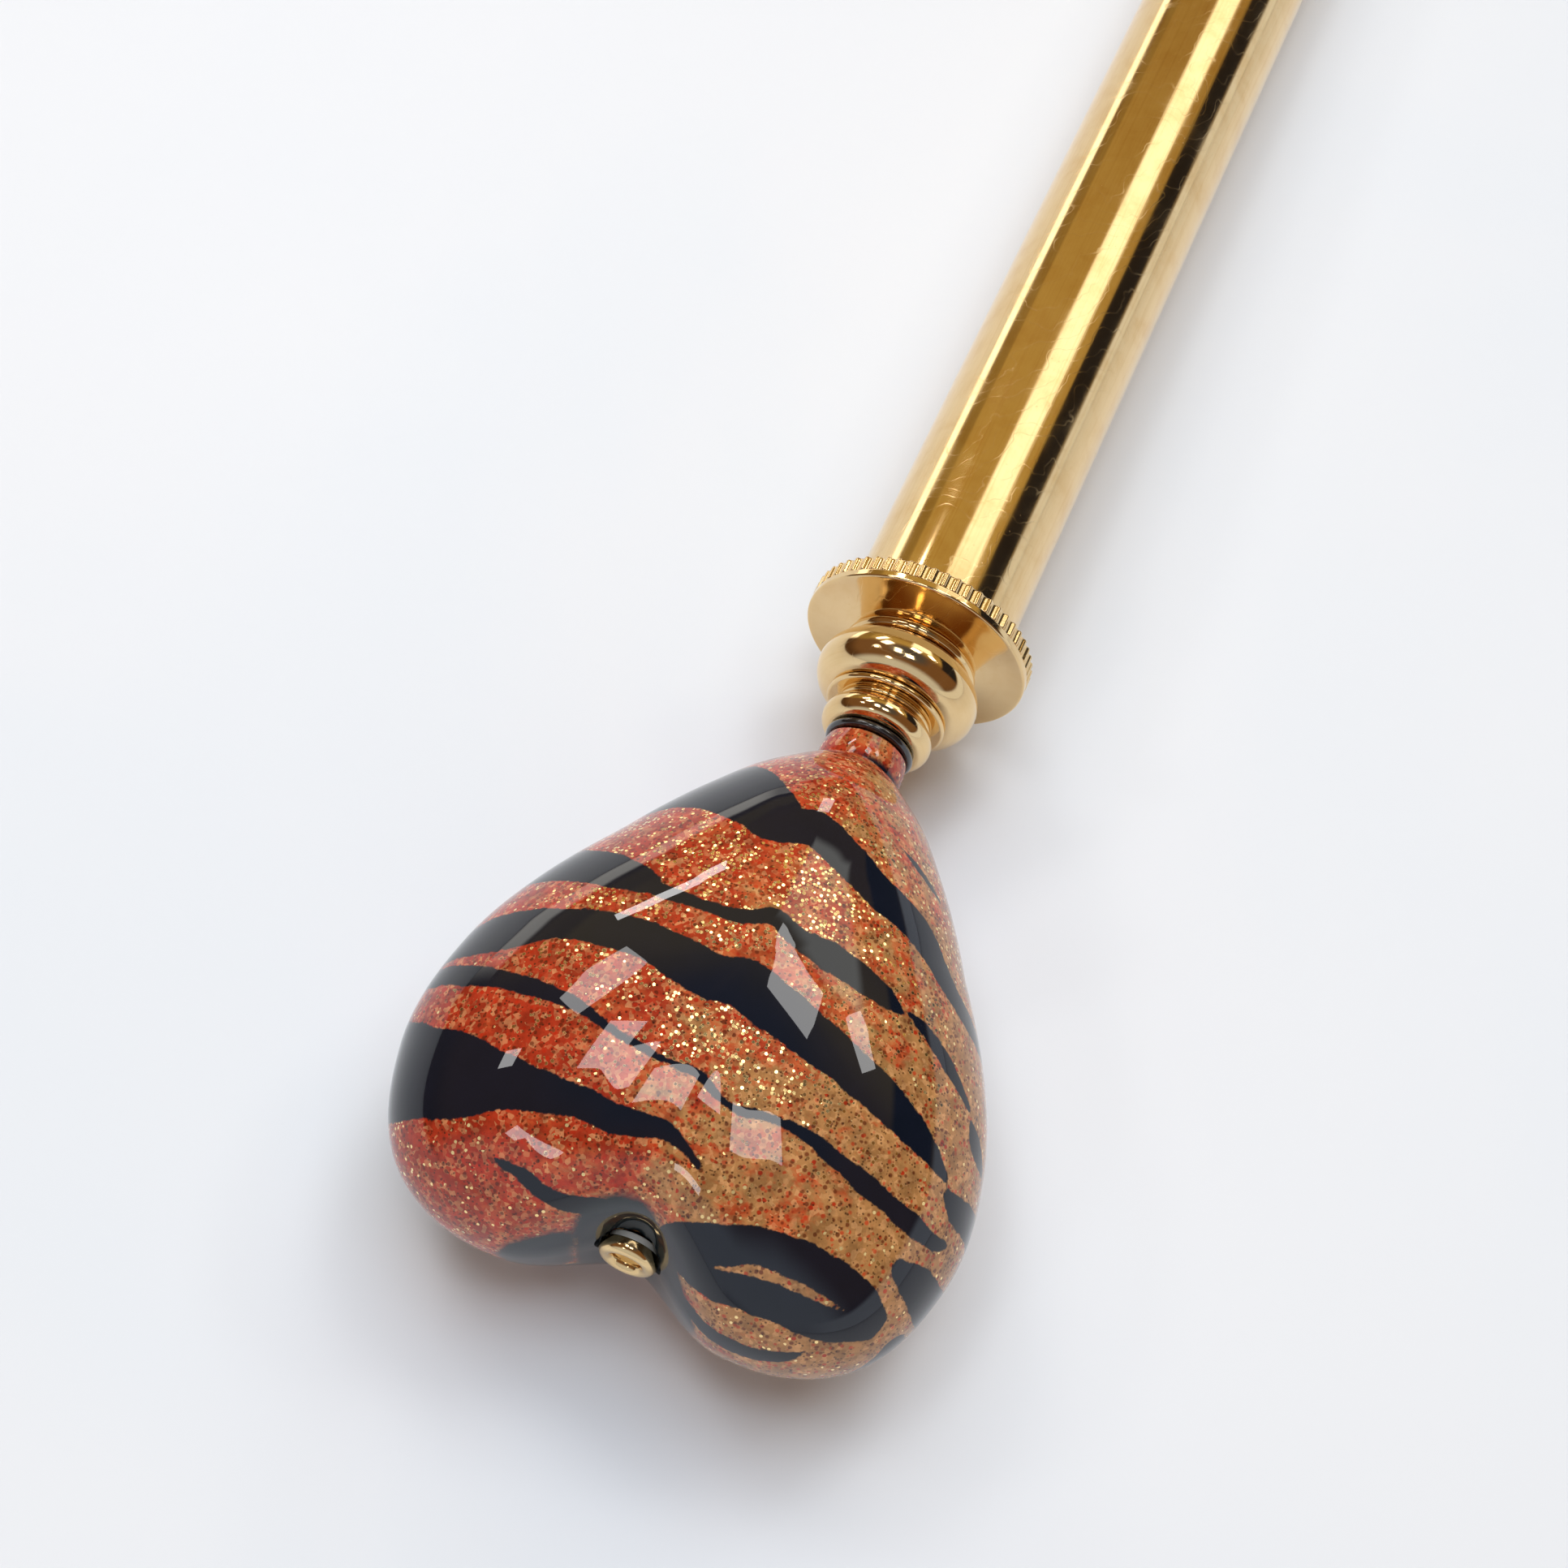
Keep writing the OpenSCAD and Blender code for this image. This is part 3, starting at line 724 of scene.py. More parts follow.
# Stripes of dark glass, each a run of (toward the neck, toward the left, half width in mm) on the face of the
# heart: the distance from the middle is 0 at the crown of the face, 1 at the rim and up to 2 at the crown of
# the back.
FACE_STRIPES = [
    [(.70, .68, 2.6), (.57, .36, 2.5), (.38, .14, 1.75), (.30, .06, 1.25), (.30, -.11, 1.15), (.33, -.39, 1.0),
     (.23, -.62, .7), (.20, -.95, .5)],
    [(.24, 1.15, 1.6), (.15, .70, 1.5), (.09, .36, .9), (.07, .29, .45), (.06, .11, .38), (.07, -.05, .5),
     (.07, -.16, .78), (.05, -.30, .62), (.04, -.37, .15)],
    [(-.22, 1.0, .9), (-.14, .61, 1.35), (-.08, .41, .95), (-.06, .23, 1.0), (-.06, .06, 1.15),
     (-.06, -.04, 1.3), (-.09, -.13, 1.2), (-.14, -.30, 1.0), (-.19, -.46, .75), (-.24, -.58, .15)],
    [(-.32, .95, .7), (-.25, .58, .6), (-.21, .32, .42), (-.20, .20, .26), (-.23, .09, .18), (-.27, -.05, .22),
     (-.24, -.16, .28), (-.26, -.25, .38), (-.30, -.37, .52), (-.36, -.57, .42), (-.37, -.66, .15)],
    [(-.70, 1.2, 2.3), (-.55, .79, 2.5), (-.43, .46, 2.1), (-.38, .30, 1.25), (-.37, .18, .8),
     (-.39, .05, .55), (-.42, -.07, .12)],
    [(-.56, .30, .15), (-.58, .25, .35), (-.64, .17, .55), (-.71, .07, .8)],
    [(-.76, -.10, 1.0), (-.62, -.13, 1.1), (-.52, -.20, .95), (-.475, -.31, .95), (-.50, -.44, .9),
     (-.55, -.54, .6)],
    [(-.76, -.13, .8), (-.67, -.21, .9), (-.615, -.31, .95), (-.60, -.43, .95), (-.585, -.54, .6)],
    [(-.43, -.52, .5), (-.47, -.62, .95), (-.57, -.84, 1.1), (-.66, -1.05, 1.1)],
    [(-.27, -.60, .3), (-.29, -.66, .65), (-.32, -.81, .8), (-.38, -1.0, .7)],
    [(.05, -.39, .15), (.04, -.44, .4), (0, -.54, .42), (-.06, -.66, .2)],
    [(-.09, -.68, .2), (-.13, -.73, .55), (-.17, -.82, .3)],
    [(-.90, -.22, .5), (-.88, -.30, .55), (-.84, -.38, .5), (-.77, -.44, .35), (-.71, -.46, .1)],
    [(.49, -.20, .1), (.52, -.30, .2), (.54, -.42, .12)],
]
BACK_STRIPES = [
    [(.55, .40, 1.0), (.40, .10, 1.5), (.30, -.20, 1.3), (.30, -.55, .9), (.34, -.90, .4)],
    [(.28, .80, 1.3), (.18, .40, 1.1), (.10, .05, .7), (.10, -.30, .9), (.06, -.52, .2)],
    [(.02, .85, .4), (-.04, .45, .9), (-.10, .10, 1.4), (-.12, -.25, 1.2), (-.20, -.62, .9), (-.22, -.85, .4)],
    [(-.22, .60, .3), (-.28, .25, .6), (-.30, -.10, .5), (-.36, -.40, .7), (-.42, -.75, .9)],
    [(-.50, .85, 1.5), (-.46, .50, 1.9), (-.44, .20, 1.1), (-.50, -.05, .3)],
    [(-.66, .52, .9), (-.70, .30, .7), (-.74, .12, .4)],
    [(-.60, -.20, .7), (-.62, -.45, 1.1), (-.70, -.75, .9)],
]
# Runs of painted shade in the cleft between the lobes, each a run of (toward the neck, toward the left, half width
# in mm) on the same chart as the stripes.
CLEFT_SHADE = [
    [(-.69, .06, .7), (-.80, .06, 2.1), (-.95, .02, 2.6), (-1.1, .0, 2.8), (-1.25, 0, 2.4), (-1.35, 0, .9)],
    [(-.88, .20, .9), (-.97, .26, 1.7), (-1.08, .28, 1.6)],
    [(-.84, -.12, 1.0), (-.93, -.17, 1.2), (-1.0, -.21, 1.4), (-1.1, -.22, 1.5)],
]


def stripe_line(stripe, back, half_thickness, steps=10):
    """Centre points and half widths along one stripe: a curve through its knots on the flat chart, lifted on
    to the heart."""
    knots = np.array(stripe, float)
    padded = np.concatenate([2 * knots[:1] - knots[1:2], knots, 2 * knots[-1:] - knots[-2:-1]])
    t = np.linspace(0, 1, steps, endpoint=False)[:, None]
    runs = [curve_through(*padded[i:i + 4], t) for i in range(len(knots) - 1)]
    line = np.concatenate(runs + [knots[-1:]])
    latitude = 90 * (1 - np.hypot(line[:, 0], line[:, 1])) * (-1 if back else 1)
    angle = np.degrees(np.arctan2(line[:, 1], line[:, 0]))
    return heart_point(angle, latitude, half_thickness), np.maximum(line[:, 2], 0.02)


def stripe_distance(points, stripes, back, half_thickness):
    """Signed distance in millimetres from each point to the nearest stripe: to each straight piece of the
    centre line, less the half width there. Points far from every stripe keep a large distance."""
    far_away, reach = 1e3, 6
    best = np.full(len(points), far_away)
    for stripe in stripes:
        centre, width = stripe_line(stripe, back, half_thickness)
        near = np.linalg.norm(points - centre.mean(0), axis=1) < np.linalg.norm(np.ptp(centre, 0)) / 2 + reach
        some = points[near]
        nearest = np.full(len(some), far_away)
        for a, b, wa, wb in zip(centre[:-1], centre[1:], width[:-1], width[1:]):
            run = b - a
            t = np.clip((some - a) @ run / max(run @ run, 1e-12), 0, 1)
            gap = np.linalg.norm(some - a - t[:, None] * run, axis=1) - (wa + t * (wb - wa))
            nearest = np.minimum(nearest, gap)
        best[near] = np.minimum(best[near], nearest)
    return best


def joined(mesh, tool, operation):
    """The mesh after a boolean with a tool mesh; the objects made for it are thrown away."""
    body = bpy.data.objects.new("glass_blank", mesh)
    cutter = bpy.data.objects.new("glass_tool", tool)
    for each in (body, cutter):
        bpy.context.scene.collection.objects.link(each)
    step = body.modifiers.new("step", "BOOLEAN")
    step.operation, step.solver, step.object = operation, "EXACT", cutter
    bpy.context.view_layer.update()
    made = bpy.data.meshes.new_from_object(body.evaluated_get(bpy.context.evaluated_depsgraph_get()))
    bpy.data.objects.remove(body)
    bpy.data.objects.remove(cutter)
    return made


def add_attribute(mesh, name, values):
    mesh.attributes.new(name, "FLOAT", "POINT").data.foreach_set("value", np.asarray(values, np.float32))


class DIPPEN_OT_heart(bpy.types.Operator):
    """Cased glass heart with its neck, its bore and the ground seat in the cleft"""
    bl_idname = "dippen.heart"
    bl_label = "Glass Heart"

    def execute(self, context):
        heart = settings().heart
        thick, neck = heart.half_thickness / MM, heart.neck_radius / MM
        around, rows = 396, 196
        angle = np.linspace(-180, 180, around, endpoint=False)[None, :]
        latitude = np.linspace(-90, 90, rows + 1)[1:-1, None]
        grid = heart_point(angle + 0 * latitude, latitude + 0 * angle, thick)
        points = np.concatenate([grid.reshape(-1, 3), [[HEART_X, 0, -thick], [HEART_X, 0, thick]]])
        ring = np.arange(around)
        low, high = len(points) - 2, len(points) - 1
        tris = np.concatenate([fan(ring, low), fan(ring + (rows - 2) * around, high)[:, ::-1]])
        blank = fill_mesh("glass_heart_blank", points, grid_quads(rows - 1, around, False, True), tris)

        # the neck bulges a little between the crease and the black ring
        neck_end, neck_face = -6.95, -6.80
        x = np.linspace(-10.4, neck_end, 40)
        side = pairs(x, neck - 0.10 + 0.13 * np.sin(np.clip((x + 8.9) / 2.1, 0, 1) * pi))
        front = eased([(neck_end, neck - 0.1, 0.0), (neck_face, neck - 0.22, 0.06), (neck_face, 0.0, 0.0)], 4)[1:]
        outline = np.concatenate([[[-10.5, 0.0], [-10.5, neck - 0.3]], side, front])
        made = joined(blank, turned("neck_tool", outline, 128), "UNION")

        # one tool cuts the bore right through and the flat seat for the screw head
        seat, seat_x = heart.cap_radius / MM + 0.2, -36.3
        tool = turned("bore_tool", [(-44, 0), (-44, seat), (seat_x, seat), (seat_x, HOLE_R), (-6, HOLE_R),
                                    (-6, 0)], 96)
        made = joined(made, tool, "DIFFERENCE")
        made.name = "glass_heart_striped"

        place_m = np.empty(len(made.vertices) * 3)
        made.vertices.foreach_get("co", place_m)
        away = place_m.reshape(-1, 3) - ORIGIN
        at = np.stack([away @ AXIS, away[:, 1], away @ UP], -1) / MM
        dark = np.minimum(stripe_distance(at, FACE_STRIPES, False, thick),
                          stripe_distance(at, BACK_STRIPES, True, thick))
        add_attribute(made, "stripe_distance", dark)
        # the distance to the painted shade in the cleft
        add_attribute(made, "cleft_distance", stripe_distance(at, CLEFT_SHADE, False, thick))
        made.shade_smooth()
        made.set_sharp_from_angle(angle=radians(32))
        place(made, "striped_glass", "heart", "glass_heart")
        return {"FINISHED"}


class DIPPEN_OT_end_cap(bpy.types.Operator):
    """Gold screw in the cleft and its clear washer"""
    bl_idname = "dippen.end_cap"
    bl_label = "End Cap"

    def execute(self, context):
        radius = settings().heart.cap_radius / MM
        head, edge, dome, shank, shank_end = -36.75, 0.3, 0.46, 0.7, -32.65
        # the crown is a half ellipse of rim round a shallow dish
        lip = radius * 0.27
        turn = np.linspace(pi * 0.95, 0, 30)
        rim_curve = pairs(head - edge - dome * np.sin(turn), radius - lip + lip * np.cos(turn))
        dish_x, dish_edge = rim_curve[0]
        dish_r = np.linspace(0, dish_edge, 10)[:-1]
        dish = pairs(dish_x + 0.05 * (1 - (dish_r / dish_edge) ** 2), dish_r)
        crown_x, crown_r = rim_curve[-1]
        rim = eased([(crown_x, crown_r, 0.0), (head, radius, 0.06), (head, shank, 0.0)], 5)[1:]
        screw = stations(head + 0.02, shank_end, 130, shank)
        outline = np.concatenate([dish, rim_curve, rim, screw, [[shank_end, 0]]])
        turn_piece("end_cap_screw", outline, 96, "gold_polished", "end_cap", "end_cap",
                   thread(head + 0.3, shank_end - 0.05, 0.35, 0.09), 60)
        turn_piece("cleft_cushion", tube(-36.71, -36.34, 0.75, 1.25, (0.03, 0.08, 0.08, 0.03), 4), 72,
                   "silicone_clear", "cap_washer", "cleft_washer")
        return {"FINISHED"}


# ---------------------------------------------------------------- inner fittings


class DIPPEN_OT_fittings(bpy.types.Operator):
    """Tie rod, its nut, the plug and the bush inside the barrel"""
    bl_idname = "dippen.fittings"
    bl_label = "Inner Fittings"

    def execute(self, context):
        # the tie rod is tapped at the tail for the screw and threaded at the other end for the nut
        tail, tapped, tapped_r, threaded = -36.0, -31.3, 0.75, 9.8
        sleeve = eased([(tapped, 0.0, 0.0), (tapped, tapped_r, 0.0), (tail, tapped_r, 0.05), (tail, ROD_R, 0.08),
                        (threaded, ROD_R, 0.0)])
        rod = np.concatenate([sleeve[:-1], stations(threaded, 13.25, 140, ROD_R), [[13.35, 1.1], [13.35, 0.0]]])
        turn_piece("tie_rod_threaded", rod, 72, "brass_turned", "barrel", "tie_rod",
                   thread(9.9, 13.2, 0.45, 0.10), 60)

        # the nut is six flats, each end chamfered by a cone
        start, end = 10.35, 12.35

        def hexagon(x, r, angle):
            flat = 2.0 / np.cos((angle + pi / 6) % (pi / 3) - pi / 6)
            chamfer = 2.08 + np.minimum(x - start, end - x) * 1.6
            return np.where(r > 1.6, np.minimum(flat, chamfer), r)

        nut = np.concatenate([[(start, ROD_R), (start, 1.7)], stations(start + 0.01, end - 0.01, 18, 2.3),
                              [(end, 1.7), (end, ROD_R)]])
        turn_piece("tie_rod_nut", nut, 144, "brass_turned", "barrel", "rod_nut", hexagon, 25)

        plug_r, plug_end = 4.0, 10.35
        plug = eased([(PLUG_FACE, ROD_R, 0.0), (PLUG_FACE, 3.0, 0.05), (TUBE_FACE, 3.0, 0.0),
                      (TUBE_FACE, plug_r, 0.06), (plug_end, plug_r, 0.15), (plug_end, ROD_R, 0.0)], 4)
        turn_piece("rear_plug_turned", plug, 96, "brass_turned", "barrel", "rear_plug", crease=40)

        start, end, bore = 77.35, 86.35, 3.05
        bush = np.concatenate([eased([(start, bore, 0.0), (start, plug_r, 0.1), (end, plug_r, 0.1),
                                      (end, bore + 0.2, 0.0)], 4), stations(end - 0.2, 77.4, 160, bore)])
        turn_piece("front_bush_threaded", bush, 96, "brass_turned", "barrel", "front_bush",
                   thread(77.6, 86.0, 0.5, -0.10), 60)
        return {"FINISHED"}


# ---------------------------------------------------------------- grip and nib

# The shoulder of the grip that meets the barrel, and the end of the grip that meets the nose cone
SHOULDER, GRIP_END = 87.27, 118.27
# Radius of the grip at its waist
WAIST = 3.85


class DIPPEN_OT_grip(bpy.types.Operator):
    """O-ring, grooved grip section, clamp ring, collet and nose cone"""
    bl_idname = "dippen.grip"
    bl_label = "Grip Section"

    def execute(self, context):
        ring_x, ring_r, minor, seam_height = 86.81, 3.52, 0.42, 0.012
        turn = np.linspace(0, 2 * pi, 28, endpoint=False)
        seam = seam_height * np.exp(-((turn - pi / 2) / 0.12) ** 2)
        seal = pairs(ring_x + minor * np.cos(turn), ring_r + (minor - seam_height + seam) * np.sin(turn))
        turn_piece("section_seal", seal, 144, "rubber_black", "o_ring", "section_o_ring")
        self.section(settings().barrel.radius / MM - 0.03)

        turn_piece("clamp_ring_turned", tube(122.57, 123.47, 2.63, 3.1, (0.03, 0.12, 0.12, 0.03), 4), 112,
                   "brass_turned", "clamp_ring", "clamp_ring")
        self.nose_cone()

        collet = frame["nodes"]["collet"]
        collet.data.materials.clear()
        collet.data.materials.append(finish("brass_turned"))
        turn_piece("nib_cushion_pad", tube(104.27, 106.23, 0.0, 2.15, (0.0, 0.12, 0.12, 0.0), 4), 72,
                   "silicone_clear", "section", "nib_cushion")
        return {"FINISHED"}

    def section(self, top):
        """The grip: a threaded tenon, a waist with finger grooves, a lip and the nose cone's spigot. The side
        runs from the top radius down to the waist and up to the lip, smoothed by a running mean."""
        # the lip rests on the table, so its radius is the height of the axis above it
        lip = (ORIGIN[2] / MM + (GRIP_END - 1.2) * AXIS[2]) / cos(LIE) - 0.004
        tenon_start, tenon_r, spigot_r, bore, bore_end = 77.95, 3.0, 3.2, 2.6, 103.27
        x = np.linspace(SHOULDER + 4, GRIP_END - 2.1, 300)
        side = np.interp(x, [SHOULDER + 4, SHOULDER + 8, GRIP_END - 6, GRIP_END - 2.1],
                         [top, WAIST, WAIST, lip - 0.02])
        window = 15
        side = np.convolve(np.pad(side, window // 2, "edge"), np.ones(window) / window, "valid")
        # each finger groove is a shallow round dip
        grooves, groove_half, groove_depth = 9, 0.33, 0.17
        for middle in SHOULDER + 8 + np.linspace(0, 17, grooves):
            side = side - groove_depth * np.sqrt(np.clip(1 - ((x - middle) / groove_half) ** 2, 0, 1))
        outline = np.concatenate([
            [[tenon_start, 0]], eased([(tenon_start, bore, 0.0), (tenon_start + 0.3, tenon_r, 0.0)]),
            stations(78.3, 86.9, 170, tenon_r),
            eased([(SHOULDER, tenon_r, 0.0), (SHOULDER, top, 0.14), (SHOULDER + 3.9, top, 0.0)]),
            pairs(x, side),
            eased([(GRIP_END - 2, lip, 0.0), (GRIP_END - 1.2, lip, 0.25), (GRIP_END, WAIST, 0.1),
                   (GRIP_END, spigot_r, 0.0)]),
            stations(GRIP_END + 0.1, GRIP_END + 3.8, 80, spigot_r),
            eased([(GRIP_END + 4, 3.1, 0.0), (GRIP_END + 4, bore, 0.0), (bore_end, bore, 0.0),
                   (bore_end, 0, 0.0)])])
        tenon_cut = thread(78.2, 86.8, 0.5, 0.14)
        spigot_cut = thread(GRIP_END + 0.3, GRIP_END + 3.9, 0.5, 0.12)

        def screw_cut(x, r, angle):
            cut = np.where(x < SHOULDER - 0.2, tenon_cut(x, r, angle),
                           np.where(x > GRIP_END + 0.05, spigot_cut(x, r, angle), r))
            return np.where(r > 2.9, cut, r)

        turn_piece("grip_section_turned", outline, 128, "gold_grip", "section", "grip_section", screw_cut, 55)

    def nose_cone(self):
        """The nose cone: a short collar, a tapered flank that hollows by a half sine, and a stepped bore."""
        nose, nose_end, collar = GRIP_END + 0.04, GRIP_END + 9.04, WAIST - 0.05
        bore, step, step_r, thread_r = 2.45, nose + 5.4, 2.9, 3.25
        curve = np.linspace(0, 1, 40)
        flank = pairs(nose + 1.4 + curve * 7.2, 3.79 - 0.89 * curve - 0.10 * np.sin(pi * curve))
        outline = np.concatenate([
            eased([(nose, thread_r, 0.0), (nose, collar, 0.08), (nose + 1.2, collar, 0.0)], 5), flank,
            eased([(nose_end - 0.2, 2.88, 0.0), (nose_end, 2.66, 0.06), (nose_end, bore, 0.05),
                   (nose + 7.2, bore, 0.0), (nose + 7.2, 2.61, 0.0), (step, step_r, 0.0),
                   (step, thread_r, 0.0)], 5)])
        turn_piece("nose_cone_turned", outline, 144, "gold_grip", "nose_cone", "nose_cone", crease=45)


class DIPPEN_OT_nib(bpy.types.Operator):
    """Fluted glass nib on its shank, with the silicone sleeve round it"""
    bl_idname = "dippen.nib"
    bl_label = "Glass Nib"

    def execute(self, context):
        nib = settings().nib
        shank, widest, head_l = nib.shank_radius / MM, nib.head_radius / MM, nib.head_length / MM
        start, head, tip_r, swell_end = 106.27, 129.81, 0.35, 0.22
        tip = head + head_l
        # radius along the nib: a straight shank, a cosine swell to the widest, then a long cosine taper
        u = np.linspace(-0.02, 0.985, 230)
        swell = shank + (widest - shank) * (1 - np.cos(pi * np.clip(u / swell_end, 0, 1))) / 2
        taper = tip_r + (widest - tip_r) * np.cos(pi / 2 * np.clip((u - swell_end) / (1 - swell_end), 0, 1)) ** 0.8
        body = pairs(head + head_l * u, np.where(u < swell_end, swell, taper))
        end_x, end_r = body[-1]
        end_turn = np.linspace(0, pi / 2, 9)[1:-1]
        nose = pairs(end_x + (tip - end_x) * np.sin(end_turn), end_r * np.cos(end_turn))
        foot = eased([(start, 0, 0.0), (start, shank, 0.35), (head - 0.5, shank, 0.0)], 8)
        outline = np.concatenate([foot[:-1], stations(110, head - 0.6, 12, shank), body, nose, [[tip, 0]]])
        flutes, lead = nib.flutes, nib.turn

        def fluted(x, r, angle):
            """Spiral lobes, from none at the shank to deep along the head and shallower at the tip."""
            along, deepest, soft = (x - head) / head_l, 0.20, 0.015
            depth = (deepest * np.sin(pi * np.clip((along - 0.03) * 1.6, 0, 0.5))
                     * (1 - 0.55 * np.clip(along, 0, 1) ** 6))
            lobes = np.sqrt(np.cos((angle - lead * along) * flutes / 2) ** 2 + soft) / np.sqrt(1 + soft)
            return r * (1 - depth * (1 - lobes))

        turn_piece("glass_nib_fluted", outline, 240, "nib_glass", "nib", "glass_nib", fluted)
        turn_piece("nib_sleeve_tube", tube(107.27, 124.77, 1.97, 2.15, (0.05, 0.05, 0.05, 0.05), 3), 80,
                   "silicone_clear", "nib", "nib_sleeve")
        return {"FINISHED"}


# ---------------------------------------------------------------- stage


def make_room_patch():
    """One patch of the room: 1 inside a rounded window of lean and reach, 0 outside, soft at the edge."""
    _, given, out = group("Room Patch", {"Lean": 0.0, "Reach": 0.0, "Middle Lean": 0.0, "Middle Reach": 0.0,
                                         "Half Lean": 10.0, "Half Reach": 10.0, "Softness": 0.2}, {"Mask": 0.0})
    far = calc("MAXIMUM", abs(given["Lean"] - given["Middle Lean"]) / given["Half Lean"],
               abs(given["Reach"] - given["Middle Reach"]) / given["Half Reach"])
    feed(out, {"Mask": fade(far, given["Softness"] + 1.0, calc("SUBTRACT", 1.0, given["Softness"]))})


# Patches of the room round the table. Lean is the angle from straight up toward the left of the pen, reach the
# angle from square to the pen toward its nib: middle and half size of each in degrees, softness, and the light
# that comes from there
ROOM_PATCHES = [
    (0, -66, 115, 24, 0.4, (0.62, 0.66, 0.72)),
    (-96, 20, 20, 75, 0.12, (0.80, 0.84, 0.90)),
    (66, 46, 6, 26, 0.4, (0.30, 0.20, 0.06)),
    (84, 44, 6, 20, 0.35, (2.2, 2.1, 1.9)),
    (-60, 44, 14, 32, 0.15, (0.02, 0.018, 0.02)),
    (-14, 46, 16, 11, 0.16, (1.75, 1.7, 1.5)),
]

# Ceiling lights: direction from the heart, distance, width and depth in metres and power in watts
CEILING_LIGHTS = [
    ((0.62, 0.54, 0.57), 0.12, 0.030, 0.008, 0.0075),
    ((0.46, -0.09, 0.88), 0.8, 0.17, 0.15, 0.42),
    ((0.31, 0.51, 0.80), 0.8, 0.21, 0.15, 0.48),
    ((-0.02, 0.26, 0.97), 0.8, 0.23, 0.12, 0.48),
    ((-0.14, -0.03, 0.99), 0.8, 0.15, 0.17, 0.42),
    ((-0.10, 0.69, 0.72), 0.8, 0.10, 0.08, 0.16),
    ((-0.63, 0.36, 0.69), 0.8, 0.08, 0.08, 0.12),
    ((0.50, -0.43, 0.75), 0.8, 0.14, 0.10, 0.25),
    ((0.90, 0.10, 0.30), 0.8, 0.12, 0.10, 0.20),
]


def add_light(name, shape, width, depth, power, spot, ahead):
    """An area light at a spot, turned so that it shines the way opposite to ahead. The camera never sees it."""
    lamp = bpy.data.lights.new(name, "AREA")
    lamp.shape, lamp.size, lamp.size_y, lamp.energy = shape, width, depth, power
    holder = bpy.data.objects.new(name, lamp)
    bpy.context.scene.collection.objects.link(holder)
    holder.location = spot
    holder.rotation_euler = ahead.to_track_quat("Z", "Y").to_euler()
    holder.visible_camera = False
    return holder


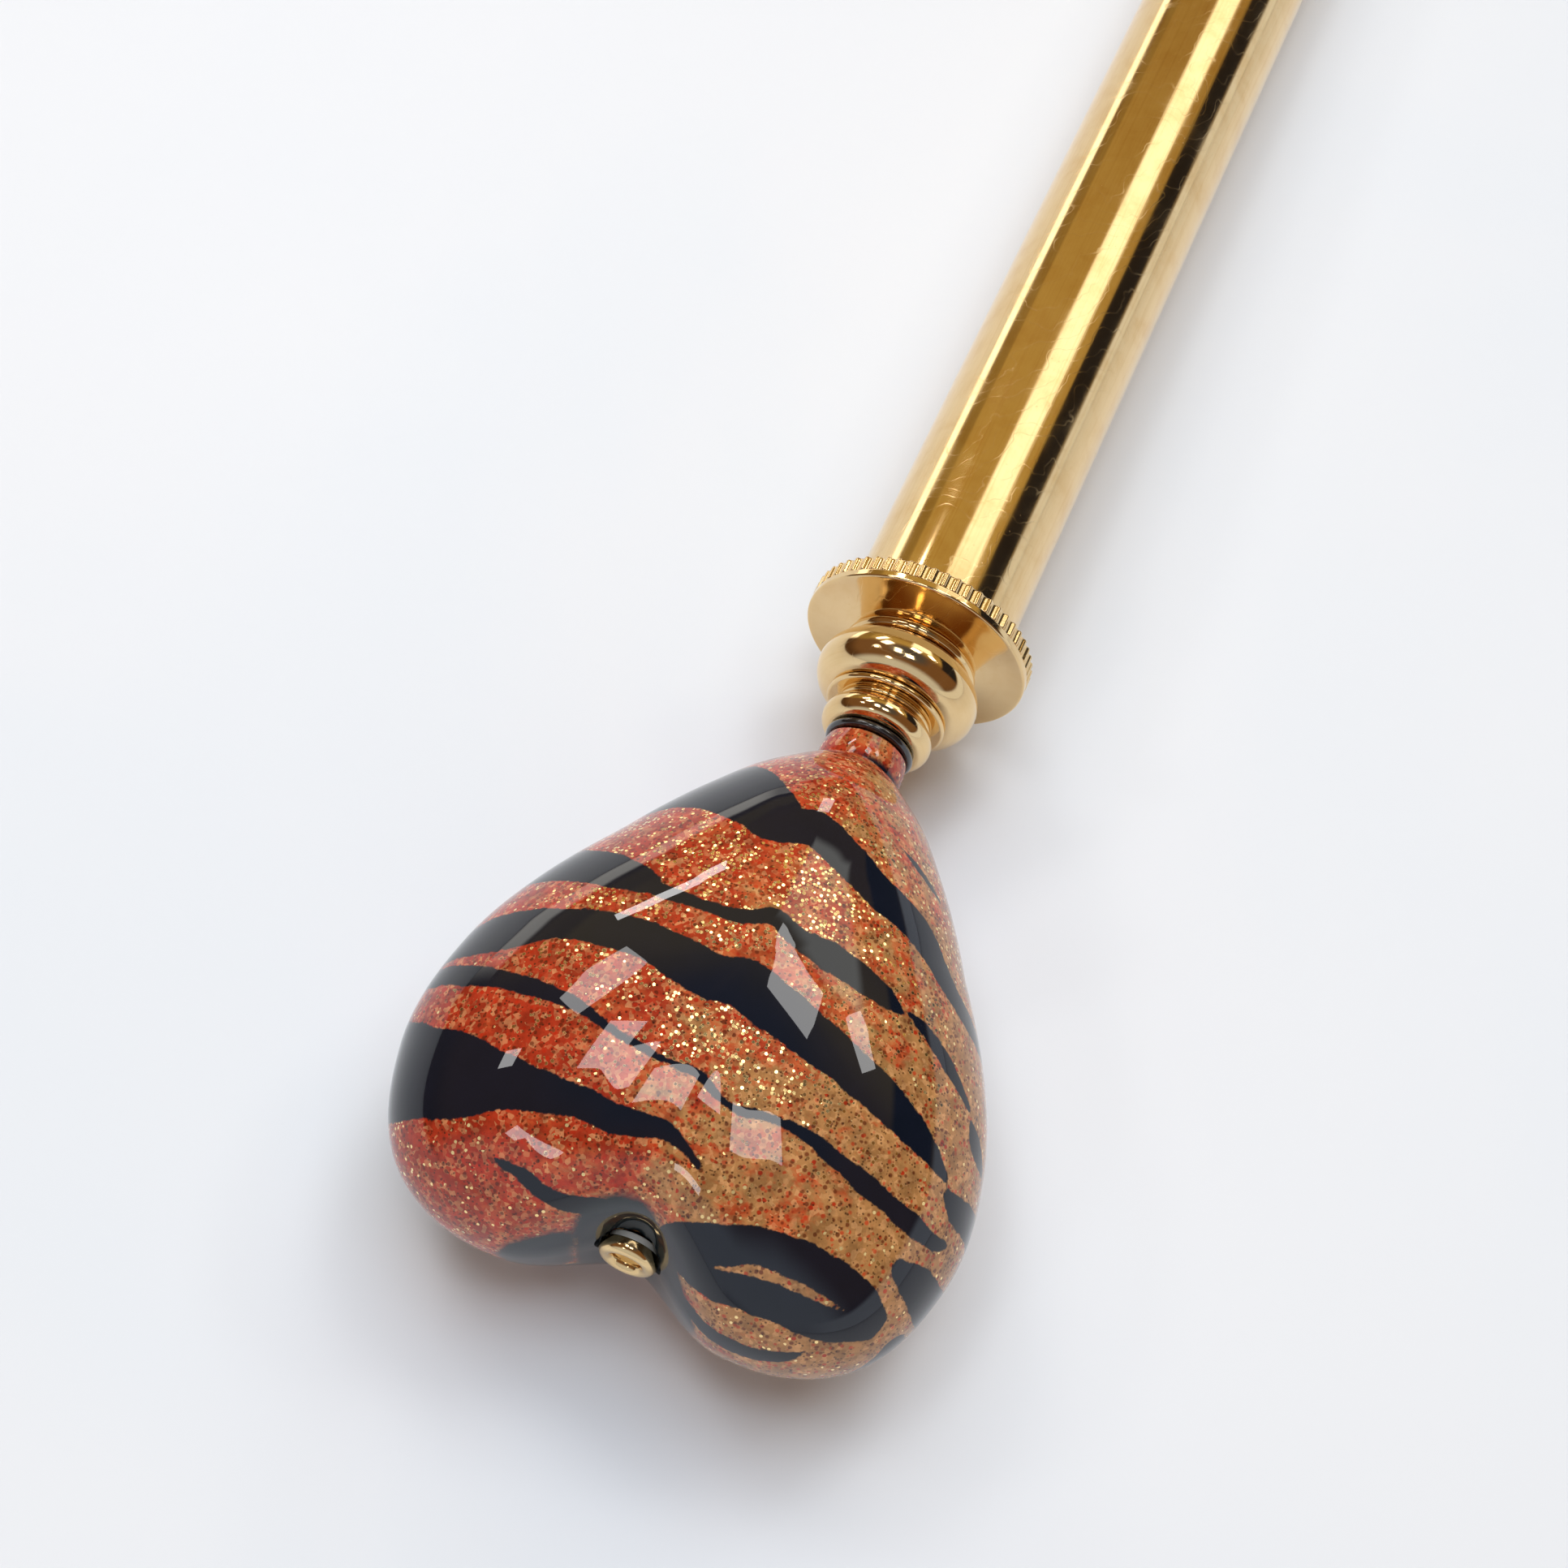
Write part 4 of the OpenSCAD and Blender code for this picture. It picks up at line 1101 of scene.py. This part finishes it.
class DIPPEN_OT_stage(bpy.types.Operator):
    """White table, room light, ceiling lights and the camera"""
    bl_idname = "dippen.stage"
    bl_label = "Stage"

    def execute(self, context):
        stage = settings().stage
        self.table(stage)
        self.room(stage)
        middle = Vector(laid((HEART_X, 0.0, 0.0)))
        for number, (direction, distance, width, depth, power) in enumerate(CEILING_LIGHTS):
            ahead = Vector(direction).normalized()
            add_light(f"ceiling_light_{number}", "RECTANGLE", width, depth, power,
                      middle + ahead * distance, ahead)
        # a wide soft light over the table that polished things do not mirror
        spot, side = Vector((0.5, 0.15, 2.4)), 2.2
        skylight = add_light("skylight", "SQUARE", side, side, stage.skylight, spot, spot)
        skylight.data.color = (0.72, 0.85, 1.0)
        skylight.visible_glossy = False
        self.camera(stage)
        context.scene.view_settings.view_transform = "Standard"
        return {"FINISHED"}

    def table(self, stage):
        mesh = bpy.data.meshes.new("table_top")
        half = 6.0
        mesh.from_pydata([(-half, -half, 0), (half, -half, 0), (half, half, 0), (-half, half, 0)], [],
                         [(0, 1, 2, 3)])
        top = bpy.data.objects.new("table_top", mesh)
        bpy.context.scene.collection.objects.link(top)
        tree, shader = material("white_table")
        here = put(tree, "ShaderNodeTexCoord", {}, "Object")
        cloud = noise(here, 9.0, 4, 0.6, 0.6)
        grain = noise(here, 900.0, 3, 0.6)
        colour = blend(fade(cloud, 0.42, 0.72), solid(stage.table), solid((0.82, 0.845, 0.87)))
        feed(shader, {"Base Color": colour, "Roughness": grain * 0.12 + 0.34, "Specular IOR Level": 0.2,
                      "Normal": bump(grain, 0.05, 0.02 * MM)})
        mesh.materials.append(finish("white_table"))

    def room(self, stage):
        """The world's light: colours that change with reach and elevation, then the patches over them."""
        make_room_patch()
        world = bpy.data.worlds.new("room")
        world.use_nodes = True
        tree = world.node_tree
        east, north, up = split(put(tree, "ShaderNodeTexCoord", {}, "Generated"))
        lean = calc("DEGREES", calc("ARCTAN2", north, up))
        reach = calc("DEGREES", calc("ARCSINE", east))
        elevation = calc("DEGREES", calc("ARCSINE", up))
        light = solid((0.19, 0.10, 0.045))
        for angle, start, end, colour in ((reach, 12.0, 32.0, (0.50, 0.35, 0.11)),
                                          (reach, 36.0, 58.0, (0.26, 0.15, 0.045)),
                                          (elevation, 55.0, 75.0, (0.09, 0.085, 0.09)),
                                          (elevation, 22.0, 4.0, (0.09, 0.045, 0.02))):
            light = blend(fade(angle, start, end), light, solid(colour))
        for middle_lean, middle_reach, half_lean, half_reach, softness, colour in ROOM_PATCHES:
            patch = use(tree, "Room Patch", lean=lean, reach=reach, middle_lean=middle_lean,
                        middle_reach=middle_reach, half_lean=half_lean, half_reach=half_reach, softness=softness)
            light = blend(patch["Mask"], light, solid(colour))
        feed(tree.nodes["Background"], {"Color": light, "Strength": stage.room})
        bpy.context.scene.world = world

    def camera(self, stage):
        """The camera looks from its place to the aim, and its top is turned from upright by the roll."""
        lens = bpy.data.cameras.new("camera")
        lens.lens, lens.sensor_width, lens.clip_start, lens.clip_end = stage.lens, 36.0, 0.005, 20.0
        camera = bpy.data.objects.new("camera", lens)
        bpy.context.scene.collection.objects.link(camera)
        spot = Vector(stage.camera_place)
        ahead = (Vector(stage.aim) - spot).normalized()
        level = ahead.cross(Vector((0, 0, 1))).normalized()
        top = level.cross(ahead) * cos(stage.roll) + level * sin(stage.roll)
        right = ahead.cross(top)
        camera.matrix_world = Matrix.Translation(spot) @ Matrix((right, top, -ahead)).transposed().to_4x4()
        bpy.context.scene.camera = camera


# ---------------------------------------------------------------- add-on


class DIPPEN_OT_finishes(bpy.types.Operator):
    """Gold, brass, glass, rubber and silicone finishes"""
    bl_idname = "dippen.finishes"
    bl_label = "Finishes"

    def execute(self, context):
        make_finishes()
        return {"FINISHED"}


class DIPPEN_PT_panel(bpy.types.Panel):
    """The pen's pieces in the order they are made"""
    bl_idname = "DIPPEN_PT_panel"
    bl_label = "Dip Pen"
    bl_space_type = "VIEW_3D"
    bl_region_type = "UI"
    bl_category = "Dip Pen"

    def draw(self, context):
        pen = context.scene.dip_pen
        for operator in OPERATORS:
            self.layout.operator(operator.bl_idname)
        for part in (pen.barrel, pen.finial, pen.heart, pen.nib, pen.stage):
            box = self.layout.box()
            for name in part.__annotations__:
                box.prop(part, name)


OPERATORS = (DIPPEN_OT_finishes, DIPPEN_OT_barrel, DIPPEN_OT_flange, DIPPEN_OT_beads, DIPPEN_OT_heart,
             DIPPEN_OT_end_cap, DIPPEN_OT_fittings, DIPPEN_OT_grip, DIPPEN_OT_nib, DIPPEN_OT_stage)
CLASSES = (BarrelSettings, FinialSettings, HeartSettings, NibSettings, StageSettings, PenSettings,
           *OPERATORS, DIPPEN_PT_panel)


def register():
    for each in CLASSES:
        bpy.utils.register_class(each)
    bpy.types.Scene.dip_pen = PointerProperty(type=PenSettings)


def unregister():
    del bpy.types.Scene.dip_pen
    for each in reversed(CLASSES):
        bpy.utils.unregister_class(each)


def main():
    register()
    bpy.ops.dippen.finishes()
    bpy.ops.dippen.barrel()
    bpy.ops.dippen.flange()
    bpy.ops.dippen.beads()
    bpy.ops.dippen.heart()
    bpy.ops.dippen.end_cap()
    bpy.ops.dippen.fittings()
    bpy.ops.dippen.grip()
    bpy.ops.dippen.nib()
    bpy.ops.dippen.stage()


if __name__ == "__main__":
    main()
